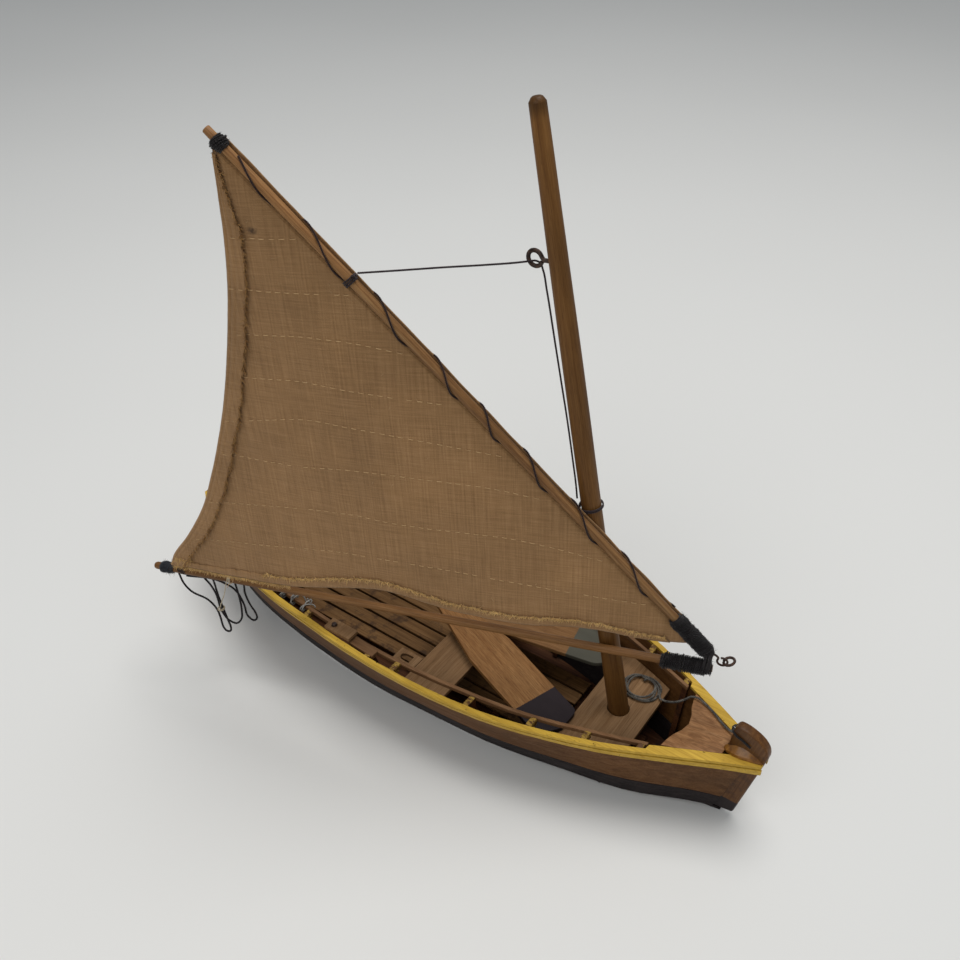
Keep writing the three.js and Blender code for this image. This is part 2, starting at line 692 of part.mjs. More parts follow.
// Small blocks under the chines that keep the hull upright on its keel.
const REST_OUTLINE = [[95.5, 17], [100.5, 17], [100.5, 20.6], [95.5, 20.6]];
const REST_HEIGHT = 2.6;

function bilgeRest(side) {
  return plate(REST_OUTLINE.map(([x, y]) => [x, side * y]), REST_HEIGHT, 0);
}

const FLOOR_TIMBER_X = [-90, 40];
const FLOOR_TIMBER_HALF = 22;
const FLOOR_TIMBER_Z = 5;

function floorTimber(x) {
  const half = FLOOR_TIMBER_HALF;
  return plate([[x - 2, -half], [x + 2, -half], [x + 2, half], [x - 2, half]], 4.8, FLOOR_TIMBER_Z);
}

const SLAT_AFT = -122;
const SLAT_FORWARD = 70;

function floorSlat(k) {
  const y = (k - 2) * SLAT_PITCH;
  const half = SLAT_WIDTH / 2;
  const outline = [[SLAT_AFT, y - half], [SLAT_FORWARD, y - half], [SLAT_FORWARD, y + half],
    [SLAT_AFT, y + half]];
  return plate(outline, SLAT_THICK, SLAT_TOP - SLAT_THICK);
}

// ---- assembly: hull ----
add('keel', keel(), WOOD_BLACK);
add('stem_post', stemPost(), WOOD_DARK);
add('transom', transom(), WOOD_DARK);
add('bottom_panel', bottomPanel(), WOOD_BLACK);
SIDES.forEach(([name, side]) => {
  const underCap = (x) => sheer(x) - CAP_THICK - GAP;
  add(`lower_plank_${name}`, sidePlank(side, chineZ, () => WALE_Z - GAP / 2), WOOD_BLACK);
  add(`upper_plank_${name}`, sidePlank(side, () => WALE_Z + GAP / 2, underCap), WOOD_DARK);
  add(`rub_strake_${name}`, rubStrake(side), PAINT_YELLOW);
  add(`gunwale_cap_${name}`, gunwaleCap(side), PAINT_YELLOW);
  add(`inwale_${name}`, inwale(side), WOOD_DARK);
  RIB_X.forEach((x, i) => add(`rib_${i + 1}_${name}`, rib(side, x), WOOD_DARK));
  add(`rowlock_block_${name}`, rowlockBlock(side), WOOD_DARK);
  add(`thole_pin_${name}`, tholePin(side), IRON);
  add(`thwart_bracket_${name}`, thwartBracket(side), WOOD_LIGHT);
  add(`bilge_rest_${name}`, bilgeRest(side), WOOD_BLACK);
});
add('aft_thwart', thwart(-128, -106), WOOD_LIGHT);
add('middle_thwart', thwart(1.2, 24), WOOD_LIGHT);
add('mast_thwart', cut(thwart(80.5, 110.9), mastClearance(10, 45)), WOOD_LIGHT);
add('mast_step', mastStep(), WOOD_DARK);
add('foredeck', foredeck(), WOOD_DECK);
FLOOR_TIMBER_X.forEach((x, i) => add(`floor_timber_${i + 1}`, floorTimber(x), WOOD_DARK));
for (let k = 0; k < 5; k += 1) {
  add(`floor_slat_${k + 1}`, floorSlat(k), WOOD_DARK);
}
const bluntTip = [[20.5, 0], [19.6, 3.3], [17.4, 10.4], [15.6, 12]];
const roundTip = [[25.5, 0], [24, 4], [20, 9], [15.6, 12]];
placeBoard(add('leeboard_starboard', leeboard(bluntTip, [[-66, 7], [-78, 5.2]]), WOOD_LIGHT),
  62, -21, 33.75, -19.27, 2.75);
placeBoard(add('leeboard_port', leeboard(roundTip, [[-58, 8.4], [-62.5, 7.4]]), WOOD_LIGHT),
  56.4, 24.2, THWART_TOP + GAP, 10.5, 0);

// ---- assembly: rig ----
add('mast', mast(), WOOD_MAST);
add('halyard_eye', halyardEye(), IRON);
add('yard', yard(), WOOD_SPAR);
add('boom', boom(), WOOD_SPAR);
add('tack_link', tackLink(), IRON);
add('tack_ring', tackRing(), IRON);
add('peak_lashing', lashing(yardTack, yardPeak, 284, 292, 1.62), THREAD_BLACK);
add('yard_tack_lashing', lashing(yardTack, yardPeak, 8, 27, 2), THREAD_BLACK);
add('boom_tack_lashing', lashing(boomFront, boomEnd, 2.2, 22, BOOM_RADIUS), THREAD_BLACK);
add('clew_lashing', lashing(boomFront, boomEnd, 272.8, 280.8, BOOM_RADIUS), THREAD_BLACK);
add('sail', sail(), LINEN);
add('halyard', tube(placed(HALYARD_ROUTE), HALYARD_D, 44), CORD_GREY);
add('yard_lacing', yardLacing(), CORD_TAN);
add('sheet', tube(SHEET_ROUTE.map((p) => rig(...p)), SHEET_D, 80), THREAD_BLACK);
add('painter_lead', tube(placed(PAINTER_ROUTE), PAINTER_D, 30), CORD_GREY);
add('painter_coil', painterCoil(), CORD_GREY);

export default boat;
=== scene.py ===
"""Looks of a handmade wooden boat model with a laced lateen sail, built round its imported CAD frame.

Lengths in this script are millimetres until a mesh is made; +X bow, +Y port, +Z up.
"""

import math

import bmesh
import bpy
import numpy as np
from mathutils import Matrix, Vector, noise


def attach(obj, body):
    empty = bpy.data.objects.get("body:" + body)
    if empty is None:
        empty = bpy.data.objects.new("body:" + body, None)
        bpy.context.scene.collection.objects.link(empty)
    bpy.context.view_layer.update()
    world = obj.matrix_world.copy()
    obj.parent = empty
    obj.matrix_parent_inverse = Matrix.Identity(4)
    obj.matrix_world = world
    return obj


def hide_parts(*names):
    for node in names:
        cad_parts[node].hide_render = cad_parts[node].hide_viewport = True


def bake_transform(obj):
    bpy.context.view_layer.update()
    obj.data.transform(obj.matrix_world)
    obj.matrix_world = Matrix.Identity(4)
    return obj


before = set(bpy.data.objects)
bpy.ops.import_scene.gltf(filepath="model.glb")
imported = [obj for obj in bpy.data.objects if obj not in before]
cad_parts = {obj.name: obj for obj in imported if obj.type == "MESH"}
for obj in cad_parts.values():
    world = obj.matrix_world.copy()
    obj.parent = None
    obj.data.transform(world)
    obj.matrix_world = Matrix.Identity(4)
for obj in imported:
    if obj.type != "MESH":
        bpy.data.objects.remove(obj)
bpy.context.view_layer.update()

MM = 0.001
random = np.random.default_rng(11)
# Unless it is given a seed, noise_vector takes one from the clock.
noise.seed_set(11)
SIDES = (("starboard", -1), ("port", 1))

# ---------------------------------------------------------------- camera and light
CAMERA_PLACE = (0.2228, -0.2872, 0.4060)
CAMERA_AZIMUTH = math.radians(35.83)
CAMERA_DOWN = math.radians(37.60)
CAMERA_ROLL = math.radians(-0.295)
CAMERA_LENS = 37.116


def make_camera():
    data = bpy.data.cameras.new("camera")
    data.lens = CAMERA_LENS
    data.sensor_width = 36
    data.clip_start = 0.01
    data.clip_end = 30
    camera = bpy.data.objects.new("camera", data)
    bpy.context.collection.objects.link(camera)
    forward = Vector((
        -math.sin(CAMERA_AZIMUTH) * math.cos(CAMERA_DOWN),
        math.cos(CAMERA_AZIMUTH) * math.cos(CAMERA_DOWN),
        -math.sin(CAMERA_DOWN),
    ))
    right = Vector((math.cos(CAMERA_AZIMUTH), math.sin(CAMERA_AZIMUTH), 0))
    up = right.cross(forward)
    side = right * math.cos(CAMERA_ROLL) + up * math.sin(CAMERA_ROLL)
    top = up * math.cos(CAMERA_ROLL) - right * math.sin(CAMERA_ROLL)
    turn = Matrix((side, top, -forward)).transposed().to_4x4()
    camera.matrix_world = Matrix.Translation(CAMERA_PLACE) @ turn
    bpy.context.scene.camera = camera


def area_light(name, place, aim, size, power, colour):
    data = bpy.data.lights.new(name, "AREA")
    data.shape = "DISK"
    data.size = size
    data.energy = power
    data.color = colour
    lamp = bpy.data.objects.new(name, data)
    bpy.context.collection.objects.link(lamp)
    lamp.location = place
    lamp.rotation_euler = (Vector(aim) - Vector(place)).to_track_quat("-Z", "Y").to_euler()


def make_light():
    world = bpy.data.worlds.new("studio")
    bpy.context.scene.world = world
    world.use_nodes = True
    background = world.node_tree.nodes["Background"]
    background.inputs["Color"].default_value = (0.93, 0.97, 1.0, 1)
    background.inputs["Strength"].default_value = 0.34
    area_light("key", (0.1, 0.25, 1.55), aim=(0, 0, 0.05), size=1.05, power=15.5, colour=(1.0, 0.985, 0.955))
    area_light("fill", (0.0, -1.15, 1.15), aim=(0, 0, 0.1), size=1.2, power=6.0, colour=(1.0, 0.985, 0.96))
    view = bpy.context.scene.view_settings
    view.view_transform = "Standard"
    view.look = "None"


make_camera()
make_light()


# ---------------------------------------------------------------- shapes shared with the CAD
def unit(vector):
    return vector / np.linalg.norm(vector)


def through(points):
    """A smooth function through [x, y] points, carried on straight past its ends."""
    xs, ys = np.array(points, float).T
    count = len(xs)
    before, after = np.maximum(np.arange(count) - 1, 0), np.minimum(np.arange(count) + 1, count - 1)
    slopes = (ys[after] - ys[before]) / (xs[after] - xs[before])

    def value(x):
        x = np.asarray(x, float)
        inside = np.clip(x, xs[0], xs[-1])
        i = np.clip(np.searchsorted(xs, inside) - 1, 0, count - 2)
        w = xs[i + 1] - xs[i]
        t = (inside - xs[i]) / w
        rise = t * t * (3 - 2 * t)
        bend = t * (1 - t) ** 2 * w * slopes[i] + t * t * (t - 1) * w * slopes[i + 1]
        edge = np.where(x < inside, slopes[0], slopes[-1])
        return ys[i] + (ys[i + 1] - ys[i]) * rise + bend + (x - inside) * edge

    return value


gunwale_half = through([
    [-165, 18.8], [-145, 34], [-100, 50], [-50, 55.6], [0, 56.7], [50, 51.3], [96, 37.4],
    [130, 22], [150, 12], [167, 4.2],
])
inwale_offset = through([
    [-155, 6], [-65, 7.8], [0, 9.5], [40, 10.5], [75, 9.3], [100, 8.5], [124, 6],
])


def sheer(x):
    """The gunwale's height."""
    return 45.2 + 1.96e-4 * (x - 75) ** 2


def inwale_centre(x):
    return float(gunwale_half(x) - inwale_offset(x))


MAST_FOOT = np.array([101.17, 0, 7.3])
MAST_HEAD = np.array([39.6, 0, 306])
mast_direction = unit(MAST_HEAD - MAST_FOOT)


def mast_at(z):
    return MAST_FOOT + mast_direction * (z - MAST_FOOT[2]) / mast_direction[2]


SAIL_YAW = math.radians(17.34)
AFTWARD = np.array([-math.cos(SAIL_YAW), -math.sin(SAIL_YAW), 0])
OUTWARD = np.array([math.sin(SAIL_YAW), -math.cos(SAIL_YAW), 0])
ALONG_X, ALONG_Y, UPWARD = np.eye(3)
TACK = np.array([134.4, 7.2, 0])
# The spars' ends as distance aft of the tack and height. YARD_W puts the yard to port of the sail's plane.
YARD_FOOT = (1.5, 82.3)
YARD_HEAD = (212.5, 290.8)
YARD_W = -3.2
BOOM_FRONT_HEIGHT = 78.15
BOOM_REACH, BOOM_END_HEIGHT = 283.5, 58.65


def rig(along, height, out=0.0):
    """A rig place from its distance aft, its height, and its distance to starboard of the sail's plane."""
    along, height, out = (np.asarray(v, float)[..., None] for v in (along, height, out))
    return TACK + along * AFTWARD + height * UPWARD + out * OUTWARD


def rig_line(places):
    """Rig places from an array that ends in [aft, height, out]."""
    places = np.asarray(places, float)
    return rig(places[..., 0], places[..., 1], places[..., 2])


def upright(direction):
    """The unit vector nearest to up that is square to a direction."""
    return unit(UPWARD - direction * direction[2])


yard_tack = rig(*YARD_FOOT, YARD_W)
yard_peak = rig(*YARD_HEAD, YARD_W)
yard_length = float(np.linalg.norm(yard_peak - yard_tack))
yard_direction = (yard_peak - yard_tack) / yard_length
yard_up = upright(yard_direction)
yard_radius = through([[0, 1.7], [20, 2], [200, 2], [290, 1.55]])
boom_front = rig(0, BOOM_FRONT_HEIGHT)
boom_end = rig(BOOM_REACH, BOOM_END_HEIGHT)
boom_length = float(np.linalg.norm(boom_end - boom_front))
boom_direction = (boom_end - boom_front) / boom_length

leech_at = through([
    [62, 270.5], [71.1, 266.8], [85.9, 256.9], [107.8, 244.5], [122.6, 238.4], [149.8, 229.1],
    [170.4, 223], [196.6, 217.2], [228, 211.6], [249, 209.8], [266, 209.4], [283, 209.6],
])
foot_rise = through([
    [12, -1.5], [57.5, 4.6], [85.3, 3.4], [112, 5.8], [127.6, 8.8], [141, 12.4], [154.9, 13.8],
    [175.8, 10.6], [203.1, 5.8], [231.7, 1.5], [270.5, 0],
])
yard_run, yard_rise = YARD_HEAD[0] - YARD_FOOT[0], YARD_HEAD[1] - YARD_FOOT[1]
LUFF_DROP = 5.5
LUFF_START, LUFF_RUN = 12, 193.5
CLEW_HEIGHT = 62
CLEW_OUT = 3.4
BELLY = 5.5


def yard_height(a):
    return YARD_FOOT[1] + yard_rise * (a - YARD_FOOT[0]) / yard_run


def sail_edges(v):
    """The luff's distance aft and height, and the leech's height, at a share of the way from foot to peak."""
    luff_a = LUFF_START + LUFF_RUN * v
    peak_height = yard_height(LUFF_START + LUFF_RUN) - LUFF_DROP
    return luff_a, yard_height(luff_a) - LUFF_DROP, CLEW_HEIGHT + (peak_height - CLEW_HEIGHT) * v


def sail_place(u, v):
    """The sail's middle surface as [aft, height, out]: u from luff to leech, v from foot to peak."""
    u, v = np.asarray(u, float), np.asarray(v, float)
    luff_a, luff_z, leech_z = sail_edges(v)
    a = luff_a + (leech_at(leech_z) - luff_a) * u
    rise = foot_rise(a) * (1 - v) ** 8 * np.minimum(1, 8 * np.maximum(u, 0))
    z = luff_z + (leech_z - luff_z) * u + rise
    leech_w = CLEW_OUT + (YARD_W - CLEW_OUT) * v
    inside = np.clip(u, 0, 1)
    w = YARD_W + (leech_w - YARD_W) * (1 - (1 - inside) ** 2)
    w = w + BELLY * np.sin(np.pi * inside) * (1 - v)
    return np.stack([a, z, w], axis=-1)


# ---------------------------------------------------------------- mesh helpers
def linked(name, mesh, material):
    """An object in the scene from a mesh, in one material."""
    mesh.materials.append(material)
    item = bpy.data.objects.new(name, mesh)
    bpy.context.collection.objects.link(item)
    return item


def belongs(item, body, slot=None, *nodes):
    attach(item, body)
    if nodes:
        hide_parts(*nodes)


def new_object(name, points, faces, material, uv=None):
    """A mesh object from points in millimetres; uv holds one pair per point."""
    mesh = bpy.data.meshes.new(name)
    mesh.from_pydata((np.asarray(points, float) * MM).tolist(), [], [tuple(f) for f in faces])
    mesh.validate()
    if uv is not None:
        layer = mesh.uv_layers.new(name="UVMap")
        index = np.zeros(len(mesh.loops), np.int32)
        mesh.loops.foreach_get("vertex_index", index)
        layer.data.foreach_set("uv", np.asarray(uv, np.float32)[index].ravel())
    mesh.shade_smooth()
    return linked(name, mesh, material)


def smooth_line(points, step):
    """A smooth curve through points, with new points about step apart."""
    p = np.array(points, float)
    t = np.concatenate([[0], np.cumsum(np.linalg.norm(np.diff(p, axis=0), axis=1))])
    slope = np.gradient(p, t, axis=0)
    at = np.linspace(0, t[-1], max(2, int(round(t[-1] / step))) + 1)
    i = np.clip(np.searchsorted(t, at, side="right") - 1, 0, len(p) - 2)
    w = (t[i + 1] - t[i])[:, None]
    s = ((at - t[i]) / w[:, 0])[:, None]
    ends = p[i] * (1 + 2 * s) * (1 - s) ** 2 + p[i + 1] * s * s * (3 - 2 * s)
    return ends + slope[i] * w * s * (1 - s) ** 2 - slope[i + 1] * w * s * s * (1 - s)


def line_length(line):
    return float(np.linalg.norm(np.diff(line, axis=0), axis=1).sum())


def line_frames(line):
    """Two unit vectors across the line at each of its points, which don't twist."""
    along = np.gradient(line, axis=0)
    along /= np.linalg.norm(along, axis=1)[:, None]
    first = np.cross(along[0], UPWARD if abs(along[0][2]) < 0.9 else AFTWARD)
    across = [unit(first)]
    for direction in along[1:]:
        across.append(unit(across[-1] - direction * (across[-1] @ direction)))
    across = np.array(across)
    return across, np.cross(along, across)


def tube_faces(rings, sides):
    """The faces of a closed tube from rings of points."""
    faces = []
    for k in range(rings - 1):
        for j in range(sides):
            a, b = k * sides + j, k * sides + (j + 1) % sides
            faces.append((a, b, b + sides, a + sides))
    faces.append(tuple(reversed(range(sides))))
    faces.append(tuple(range((rings - 1) * sides, rings * sides)))
    return faces


def tube_uv(travel, sides):
    """Distance along a tube, and turns round it."""
    return np.stack([np.repeat(travel, sides), np.tile(np.arange(sides) / sides, len(travel))], axis=-1)


def tube_parts(line, radius, sides, lobes=0, depth=0.0, lay=3.0):
    """Points, faces and uv of a tube along a line; lobes are strands that turn once in each lay."""
    line = np.asarray(line, float)
    count = len(line)
    across, other = line_frames(line)
    travel = np.concatenate([[0], np.cumsum(np.linalg.norm(np.diff(line, axis=0), axis=1))])
    radius = np.broadcast_to(np.asarray(radius, float), (count,))
    angle = 2 * np.pi * np.arange(sides) / sides
    strand = 1 - depth * (0.5 + 0.5 * np.cos(lobes * angle)) if lobes else np.ones(sides)
    turn = angle[None, :] + (2 * np.pi * travel / lay)[:, None] * (1 if lobes else 0)
    ring = across[:, None] * np.cos(turn)[..., None] + other[:, None] * np.sin(turn)[..., None]
    points = line[:, None] + ring * (radius[:, None] * strand[None])[..., None]
    return points.reshape(-1, 3), tube_faces(count, sides), tube_uv(travel, sides)


def parts_object(name, parts, material):
    """One object from several (points, faces, uv) parts."""
    points, faces, uvs, total = [], [], [], 0
    for p, f, uv in parts:
        points.append(p)
        faces += [tuple(i + total for i in face) for face in f]
        uvs.append(uv)
        total += len(p)
    return new_object(name, np.concatenate(points), faces, material, np.concatenate(uvs))


STRAND_GROOVE = 0.26


def rope(name, line, diameter, material, strands, lay, sides=12):
    """A laid cord along a line; its strands go once round in each lay."""
    return parts_object(name, [tube_parts(line, diameter / 2, sides, strands, STRAND_GROOVE, lay)], material)


def fibres(name, roots, directions, lengths, radius, material, droop=0.3):
    """Loose fibres as one mesh of thin bent spikes."""
    curl, joints = 0.35, 5
    parts = []
    for root, direction, length in zip(roots, directions, lengths):
        direction = direction / (np.linalg.norm(direction) + 1e-9)
        swerve = random.normal(size=3) * curl * length
        s = np.linspace(0, 1, joints)[:, None]
        line = root + direction * length * s + swerve * s * s - UPWARD * droop * length * s ** 2
        parts.append(tube_parts(line, radius * np.linspace(1, 0.45, joints), 3))
    return parts_object(name, parts, material)


def turned(name, start, end, outline, material, sides, wobble, waves=0.03):
    """A round piece along a line from [distance, radius] pairs, with slight handmade unevenness."""
    length = float(np.linalg.norm(end - start))
    d, r = np.array(outline, float).T
    ring_gap, clear = 3.0, 0.5
    extra = np.arange(0, length, ring_gap)
    keep = extra[(extra > d[0] + clear) & (extra < d[-1] - clear)]
    at = np.unique(np.concatenate([d, keep]))
    size = np.interp(at, d, r)
    direction = (end - start) / length
    line = start + direction * at[:, None]
    across = unit(np.cross(direction, ALONG_Y))
    other = np.cross(direction, across)
    angle = 2 * np.pi * np.arange(sides) / sides
    ring = across * np.cos(angle)[:, None] + other * np.sin(angle)[:, None]
    points = (line[:, None] + ring[None] * size[:, None, None]).reshape(-1, 3)
    shift = [noise.noise(Vector(p * waves)) * wobble for p in points]
    points = points + np.tile(ring, (len(at), 1)) * np.array(shift)[:, None]
    item = new_object(name, points, tube_faces(len(at), sides), material, tube_uv(at, sides))
    sharpen(item, 40)
    return item


def sharpen(item, degrees):
    """Keeps the edges sharper than this angle crisp."""
    mesh = item.data
    form = bmesh.new()
    form.from_mesh(mesh)
    bmesh.ops.recalc_face_normals(form, faces=form.faces)
    limit = math.radians(degrees)
    for edge in form.edges:
        if len(edge.link_faces) == 2:
            edge.smooth = edge.calc_face_angle(0) < limit
    form.to_mesh(mesh)
    form.free()
    mesh.update()


def bevelled(item, width):
    """Small rounded edges on a hard-edged piece, with clean shading."""
    bevel = item.modifiers.new("edges", "BEVEL")
    bevel.width = width * MM
    bevel.segments = 2
    bevel.limit_method = "ANGLE"
    bevel.angle_limit = math.radians(32)
    bevel.use_clamp_overlap = True
    normals = item.modifiers.new("normals", "WEIGHTED_NORMAL")
    normals.keep_sharp = True


def cut_up(form, gap):
    """Cuts a form across all three axes, so that its long faces can bend."""
    low = np.min([v.co for v in form.verts], axis=0)
    high = np.max([v.co for v in form.verts], axis=0)
    for axis in range(3):
        count = int((high[axis] - low[axis]) / (gap * MM))
        for k in range(1, count + 1):
            place, normal = [0, 0, 0], [0, 0, 0]
            place[axis] = low[axis] + (high[axis] - low[axis]) * k / (count + 1)
            normal[axis] = 1
            bmesh.ops.bisect_plane(
                form, geom=form.verts[:] + form.edges[:] + form.faces[:], plane_co=place, plane_no=normal,
            )


def round_corners(form, radius):
    """Rounds a board's upright corners."""
    standing = [e for e in form.edges if abs((e.verts[0].co - e.verts[1].co).z) > 0.8 * e.calc_length()]
    sharp = [e for e in standing if e.calc_face_angle(0) > math.radians(20)]
    bmesh.ops.bevel(
        form, geom=sharp, offset=radius * MM, segments=6, profile=0.5, affect="EDGES", clamp_overlap=True,
    )


def remake(node, material, slot, width, body="hull", shape=None, rough=0.0, split=0.0, corner=0.0):
    """A finer piece from a CAD node's shape: rounded edges and slight unevenness. It replaces the node."""
    weld_gap, flat_angle, waves = 2e-6, math.radians(1.2), 0.09
    form = bmesh.new()
    form.from_mesh(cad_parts[node].data)
    bmesh.ops.remove_doubles(form, verts=form.verts, dist=weld_gap)
    bmesh.ops.recalc_face_normals(form, faces=form.faces)
    bmesh.ops.dissolve_limit(form, angle_limit=flat_angle, verts=form.verts, edges=form.edges)
    if split:
        cut_up(form, split)
    if corner:
        round_corners(form, corner)
    for vert in form.verts:
        if shape:
            vert.co = Vector(shape(vert.co / MM)) * MM
        if rough:
            vert.co += noise.noise_vector(vert.co / MM * waves) * rough * MM
    name = node + "_finish"
    mesh = bpy.data.meshes.new(name)
    form.to_mesh(mesh)
    form.free()
    mesh.shade_smooth()
    item = linked(name, mesh, material)
    bevelled(item, width)
    belongs(item, body, slot, node)


def block(name, corners, material, width, slot):
    """A small hard-edged piece of the hull from eight corners: four below, then the four above them."""
    faces = [(3, 2, 1, 0), (4, 5, 6, 7), (0, 1, 5, 4), (1, 2, 6, 5), (2, 3, 7, 6), (3, 0, 4, 7)]
    item = new_object(name, corners, faces, material)
    sharpen(item, 180)
    bevelled(item, width)
    belongs(item, "hull", slot)


# ---------------------------------------------------------------- materials
class Graph:
    """A material's node graph round one Principled shader."""

    def __init__(self, name, **shader):
        self.material = bpy.data.materials.new(name)
        self.material.use_nodes = True
        self.nodes = self.material.node_tree.nodes
        self.links = self.material.node_tree.links
        self.nodes.clear()
        self.shader = self.add("ShaderNodeBsdfPrincipled", **shader)
        output = self.add("ShaderNodeOutputMaterial")
        self.links.new(self.shader.outputs[0], output.inputs[0])
        self.place = self.add("ShaderNodeTexCoord")

    def add(self, kind, props=None, **inputs):
        node = self.nodes.new(kind)
        for key, value in (props or {}).items():
            setattr(node, key, value)
        for key, value in inputs.items():
            self.plug(node.inputs[key.replace("_", " ")], value)
        return node

    def plug(self, socket, value):
        if isinstance(value, bpy.types.NodeSocket):
            self.links.new(value, socket)
        else:
            socket.default_value = value

    def scaled(self, vector, scale, move=(0, 0, 0)):
        return self.add("ShaderNodeMapping", Vector=vector, Scale=scale, Location=move).outputs[0]

    def noise(self, vector, scale, detail, rough, bend=0.0, move=(0, 0, 0)):
        """Noise of a place whose three coordinates are scaled each by its own number."""
        return self.add(
            "ShaderNodeTexNoise", Vector=self.scaled(vector, scale, move), Scale=1.0, Detail=detail,
            Roughness=rough, Distortion=bend,
        ).outputs[0]

    def turned(self, vector, direction):
        """The vector turned so that the direction given lies along X."""
        turn = Vector(direction).rotation_difference(Vector((1, 0, 0)))
        axis, angle = turn.to_axis_angle()
        node = self.add("ShaderNodeVectorRotate", Vector=vector, Axis=axis, Angle=angle)
        return node.outputs[0]

    def ramp(self, factor, stops):
        node = self.add("ShaderNodeValToRGB", Fac=factor)
        ramp = node.color_ramp
        while len(ramp.elements) < len(stops):
            ramp.elements.new(0.5)
        for element, (at, colour) in zip(ramp.elements, stops):
            element.position = at
            if isinstance(colour, (int, float)):
                colour = (colour, colour, colour)
            element.color = (*colour, 1)
        return node.outputs[0]

    def math(self, what, a, b=0.0):
        node = self.add("ShaderNodeMath", {"operation": what})
        self.plug(node.inputs[0], a)
        self.plug(node.inputs[1], b)
        return node.outputs[0]

    def mix(self, factor, a, b, kind="MIX"):
        node = self.add("ShaderNodeMix", {"data_type": "RGBA", "blend_type": kind})
        self.plug(node.inputs[0], factor)
        self.plug(node.inputs[6], a if isinstance(a, bpy.types.NodeSocket) else (*a, 1))
        self.plug(node.inputs[7], b if isinstance(b, bpy.types.NodeSocket) else (*b, 1))
        return node.outputs[2]

    def tinted(self, colour, factor, stops):
        """The colour multiplied by a ramp of the factor."""
        return self.mix(1.0, colour, self.ramp(factor, stops), "MULTIPLY")

    def sum(self, a, share_a, b, share_b):
        return self.math("ADD", self.math("MULTIPLY", a, share_a), self.math("MULTIPLY", b, share_b))

    def split(self, vector):
        return self.add("ShaderNodeSeparateXYZ", Vector=vector).outputs

    def finish(self, colour, rough, bump=None, depth=0.0):
        """Sets colour and roughness, and a bump whose height is depth in millimetres."""
        self.plug(self.shader.inputs["Base Color"], colour)
        self.plug(self.shader.inputs["Roughness"], rough)
        if bump is not None:
            node = self.add("ShaderNodeBump", Height=bump, Distance=depth * MM, Strength=1.0)
            self.links.new(node.outputs[0], self.shader.inputs["Normal"])
        return self.material


def wood_figure(g, grain):
    """A place along the grain, and the fibre, ring and patch noises there."""
    at = g.turned(g.place.outputs["Object"], grain)
    fibre = g.noise(at, (70, 2600, 2600), 5, 0.6)
    ring = g.noise(at, (9, 420, 420), 4, 0.55, 0.6)
    patch = g.noise(at, (16, 50, 50), 3, 0.5)
    return at, fibre, ring, patch


EDGE_SHARPNESS = 4000.0


def wood(
    name, dark, mid, light, rough, pores, grain=(1, 0, 0), coat=0.0, grime=None, tones=None, below=None,
):
    """Wood in three tones. Tones shade it along its grain, and below repaints it under a height."""
    g = Graph(name, Specular_IOR_Level=0.14, Coat_Weight=coat, Coat_Roughness=0.25)
    at, fibre, ring, patch = wood_figure(g, grain)
    pore = g.noise(at, (260, 5200, 5200), 2, 0.5)
    figure = g.sum(fibre, 0.5, ring, 0.5)
    colour = g.ramp(figure, [(0.32, dark), (0.5, mid), (0.68, light)])
    colour = g.tinted(colour, patch, [(0.3, 0.72), (0.7, 1.12)])
    colour = g.tinted(colour, pore, [(0.28, 1.0 - pores), (0.42, 1.0)])
    if grime:
        spots = g.noise(g.place.outputs["Object"], (140, 140, 140), 5, 0.65)
        colour = g.mix(g.ramp(spots, [(0.52, 0.0), (0.66, 0.75)]), colour, grime)
    if tones:
        origin, reach, stops = tones
        start = float(np.dot(origin, unit(np.asarray(grain)))) * MM
        share = g.math("DIVIDE", g.math("SUBTRACT", g.split(at)[0], start), reach * MM)
        colour = g.tinted(colour, share, stops)
    if below:
        height, paint = below
        level = g.math("SUBTRACT", g.split(g.place.outputs["Object"])[2], height * MM)
        waver = g.math("MULTIPLY", g.math("SUBTRACT", fibre, 0.5), 0.0008)
        level = g.math("MULTIPLY", g.math("ADD", level, waver), EDGE_SHARPNESS)
        colour = g.mix(g.ramp(level, [(0.0, 1.0), (1.0, 0.0)]), colour, paint)
    gloss = g.ramp(figure, [(0.3, rough[1]), (0.7, rough[0])])
    return g.finish(colour, gloss, figure, 0.06)


def painted(name, main, deep, bare, chips):
    """Hand-brushed paint along the boat, worn through in places."""
    g = Graph(name, Specular_IOR_Level=0.2)
    at = g.place.outputs["Object"]
    brush = g.noise(at, (40, 1100, 900), 4, 0.6)
    cloud = g.noise(at, (70, 90, 90), 5, 0.6)
    colour = g.ramp(brush, [(0.3, deep), (0.62, main)])
    colour = g.mix(g.ramp(cloud, [(0.35, 0.55), (0.65, 0.0)]), colour, deep)
    worn = g.noise(at, (260, 620, 620), 6, 0.72)
    chip = g.ramp(worn, [(chips, 0.0), (chips + 0.035, 1.0)])
    colour = g.mix(chip, colour, bare)
    gloss = g.ramp(cloud, [(0.3, 0.6), (0.7, 0.42)])
    height = g.math("SUBTRACT", g.math("MULTIPLY", brush, 0.4), chip)
    return g.finish(colour, gloss, height, 0.09)


WEAVE_PITCH = 0.62
SAIL_HEIGHT = 230.0
STAIN = (184.7, 187.6)
STAIN_STRETCH = 1.4
STAIN_REACH = 10.0


